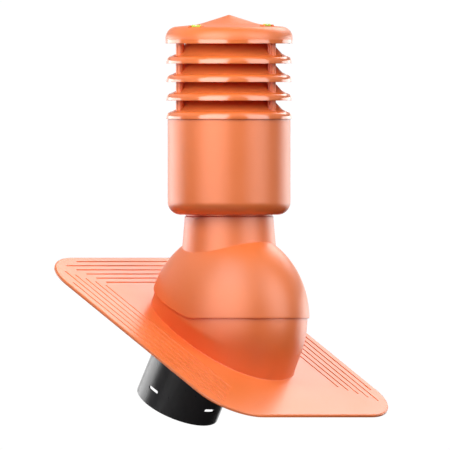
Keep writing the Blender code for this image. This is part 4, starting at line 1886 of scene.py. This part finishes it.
@dataclass
class Studio:
    """The floor, the lights and the camera, all placed round the column."""

    pixel: float = 0.001742
    frame_pixels: float = 450.0
    column_pixels: Point = (229.1, 318.4)
    camera_azimuth: float = -45.0
    camera_distance: float = 3.0
    floor_size: float = 8.0
    floor_squares: int = 8
    floor_gap: float = 0.001
    column_middle: float = 0.30
    backdrop: float = 1.02
    ambient: float = 0.02
    sheen: float = 0.40
    horizon: float = 0.02
    boxes: tuple[Softbox, ...] = (
        Softbox("key", LightUse.FILL, -26.0, 44.0, 25.0, 58.0, 3.8, distance=0.8),
        Softbox("key_high", LightUse.FILL, -28.0, 70.0, 38.0, 63.0, 1.5),
        Softbox("front_right", LightUse.FILL, 25.0, 36.0, 22.0, 60.0, 1.8),
        Softbox("right_high", LightUse.FILL, 60.0, 36.0, 38.0, 63.0, 3.0),
        Softbox("right_low", LightUse.FILL, 60.0, 36.0, 8.0, 38.0, 2.6),
        Softbox("left", LightUse.FILL, -75.0, 36.0, 18.0, 48.0, 1.6, distance=0.55),
        Softbox("bounce", LightUse.FILL, -10.0, 60.0, -40.0, -14.0, 0.3),
        Softbox("under", LightUse.FILL, 20.0, 40.0, -60.0, -42.0, 1.4, distance=0.65),
        Softbox("under_left", LightUse.FILL, -50.0, 50.0, -66.0, -44.0, 1.8, distance=0.65),
        Softbox("back_left", LightUse.FILL, -130.0, 50.0, 10.0, 50.0, 1.5),
        Softbox("back_right", LightUse.FILL, 130.0, 50.0, 10.0, 50.0, 1.8),
        Softbox("back", LightUse.FILL, 180.0, 50.0, 10.0, 50.0, 0.8),
        Softbox("top", LightUse.FILL, 0.0, 60.0, 64.0, 90.0, 0.5),
        Softbox("card_left", LightUse.CARD, -30.0, 56.0, -12.0, 44.0, 5.6),
        Softbox("card_left_high", LightUse.CARD, -30.0, 56.0, 44.0, 70.0, 2.7),
        Softbox("card_right", LightUse.CARD, 56.0, 44.0, -12.0, 44.0, 4.0),
        Softbox("card_right_high", LightUse.CARD, 56.0, 44.0, 44.0, 70.0, 1.5),
        Softbox("rim_left", LightUse.CARD, -123.0, 46.0, -12.0, 10.0, 5.0),
        Softbox("rim_left_high", LightUse.CARD, -126.0, 52.0, 10.0, 60.0, 0.4),
        Softbox("edge_left", LightUse.CARD, -162.0, 32.0, -12.0, 10.0, 1.3),
        Softbox("rim_right", LightUse.CARD, 132.0, 36.0, -12.0, 10.0, 4.4),
        Softbox("rim_right_high", LightUse.CARD, 152.0, 38.0, 22.0, 56.0, 4.0),
        Softbox("edge_right", LightUse.CARD, 165.0, 30.0, -12.0, 10.0, 1.6),
        Softbox("rim_back", LightUse.CARD, 190.0, 34.0, 10.0, 54.0, 0.2),
    )

    def toward_camera(self, turn: float = 0.0) -> Vector:
        """The level direction from the column to the camera, turned to the right by some degrees."""
        azimuth = math.radians(self.camera_azimuth + turn)
        return Vector((math.sin(azimuth), -math.cos(azimuth), 0.0))

    def camera(self) -> None:
        """Set up a camera without perspective, level, at the photograph's azimuth."""
        right = self.toward_camera(90.0)
        middle = self.frame_pixels / 2
        across = (middle - self.column_pixels[0]) * self.pixel
        up = (self.column_pixels[1] - middle) * self.pixel
        target = SWIVEL + right * across + Vector((0.0, 0.0, up))
        data = bpy.data.cameras.new("photograph_view")
        data.type = "ORTHO"
        data.ortho_scale = self.frame_pixels * self.pixel
        camera = bpy.data.objects.new("photograph_view", data)
        bpy.context.scene.collection.objects.link(camera)
        camera.location = target + self.toward_camera() * self.camera_distance
        camera.rotation_euler = self.toward_camera().to_track_quat("Z", "Y").to_euler()
        bpy.context.scene.camera = camera

    def softbox(self, box: Softbox) -> None:
        """Set up a softbox that faces the middle of the column.

        Args:
            box: The softbox.
        """
        level = math.radians((box.low + box.high) / 2)
        way = self.toward_camera(box.turn) * math.cos(level) + Vector((0.0, 0.0, math.sin(level)))
        data = bpy.data.lights.new(box.name, "AREA")
        data.shape = "RECTANGLE"
        data.size = 2 * box.distance * math.cos(level) * math.tan(math.radians(box.width / 2))
        data.size_y = 2 * box.distance * math.tan(math.radians((box.high - box.low) / 2))
        data.energy = box.radiance * math.pi * data.size * data.size_y
        light = bpy.data.objects.new(box.name, data)
        bpy.context.scene.collection.objects.link(light)
        light.location = Vector((SWIVEL.x, SWIVEL.y, self.column_middle)) + way * box.distance
        light.rotation_euler = way.to_track_quat("Z", "Y").to_euler()
        light.visible_camera = False
        light.visible_diffuse = box.use is LightUse.FILL
        light.visible_glossy = box.use is LightUse.CARD
        light.visible_transmission = False

    def world(self) -> None:
        """Set up a white backdrop, seen also through clear plastic, that hardly lights the object itself."""
        world = bpy.data.worlds.new("white_studio")
        world.use_nodes = True
        bpy.context.scene.world = world
        tree = world.node_tree
        background = tree.nodes["Background"]
        background.inputs["Color"].default_value = (1.0, 1.0, 1.0, 1.0)
        way = add_node(tree, "ShaderNodeTexCoord").outputs["Generated"]
        height = add_node(tree, "ShaderNodeSeparateXYZ", {0: way}).outputs[2]
        sky = add_node(tree, "ShaderNodeMapRange", {0: height, 1: -self.horizon, 2: self.horizon})
        path = add_node(tree, "ShaderNodeLightPath")
        shares = {0: path.outputs["Is Glossy Ray"], 3: self.ambient, 4: self.sheen}
        lit = add_node(tree, "ShaderNodeMapRange", shares)
        unseen = add_node(tree, MATHS, {0: sky.outputs[0], 1: lit.outputs[0]}, operation="MULTIPLY")
        sights = {0: path.outputs["Is Camera Ray"], 1: path.outputs["Is Transmission Ray"]}
        seen = add_node(tree, MATHS, sights, operation="MAXIMUM")
        levels = {0: seen.outputs[0], 3: unseen.outputs[0], 4: self.backdrop}
        strength = add_node(tree, "ShaderNodeMapRange", levels)
        tree.links.new(strength.outputs[0], background.inputs["Strength"])

    def floor(self, material: Material) -> Object:
        """Make a large plain floor just under the lowest point of the object, which throws no light back.

        Args:
            material: Its material.

        Returns:
            The floor.
        """
        low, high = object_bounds()
        squares = self.floor_squares
        bm = bmesh.new()
        bmesh.ops.create_grid(bm, x_segments=squares, y_segments=squares, size=self.floor_size / 2)
        place = Vector(((low.x + high.x) / 2, (low.y + high.y) / 2, low.z - self.floor_gap))
        bmesh.ops.translate(bm, verts=bm.verts, vec=place)
        floor = mesh_object("studio_floor", bm, closed=False)
        floor.data.materials.append(material)
        floor.visible_diffuse = False
        floor.visible_glossy = False
        floor.visible_shadow = False
        floor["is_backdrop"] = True
        return floor

    def build(self, palette: Palette) -> None:
        """Set up the studio and how its picture is shown.

        Args:
            palette: Every material.
        """
        self.camera()
        self.world()
        for box in self.boxes:
            self.softbox(box)
        self.floor(palette.floor)
        bpy.context.scene.view_settings.view_transform = "Standard"
        LOG.info("studio: camera, %d softboxes, floor", len(self.boxes))


def main() -> None:
    """Build every sub-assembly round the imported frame."""
    logging.basicConfig(level=logging.INFO, format="%(name)s %(message)s")
    for old in list(bpy.data.objects):
        bpy.data.objects.remove(old, do_unlink=True)
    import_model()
    palette = Palette.mixed()
    shop = Workshop(turning=turning_tree(), grooves=groove_tree(), ribbed=ribbed_bar_tree())
    swivel = Swivel()
    louvre = Louvre()
    neck = Neck()
    spigot = DuctSpigot(shop)
    Flashing(shop, swivel, spigot).build(palette)
    spigot.build(palette)
    SwivelDome(shop, swivel, neck).build(palette)
    jacket = Jacket(shop, louvre, neck)
    jacket.build(palette)
    posts = Posts(shop, louvre)
    LouvreRings(shop, louvre, posts).build(jacket.lip(), palette)
    head_top = jacket.lip() + louvre.rings * louvre.pitch + louvre.height
    cap = Cap(shop, rim=head_top + CAP_GAP)
    cap.build(palette)
    posts.build(jacket.lip(), cap, palette)
    for level in cap.levels:
        cap.build_level(level, palette)
    Studio().build(palette)


if __name__ == "__main__":
    main()
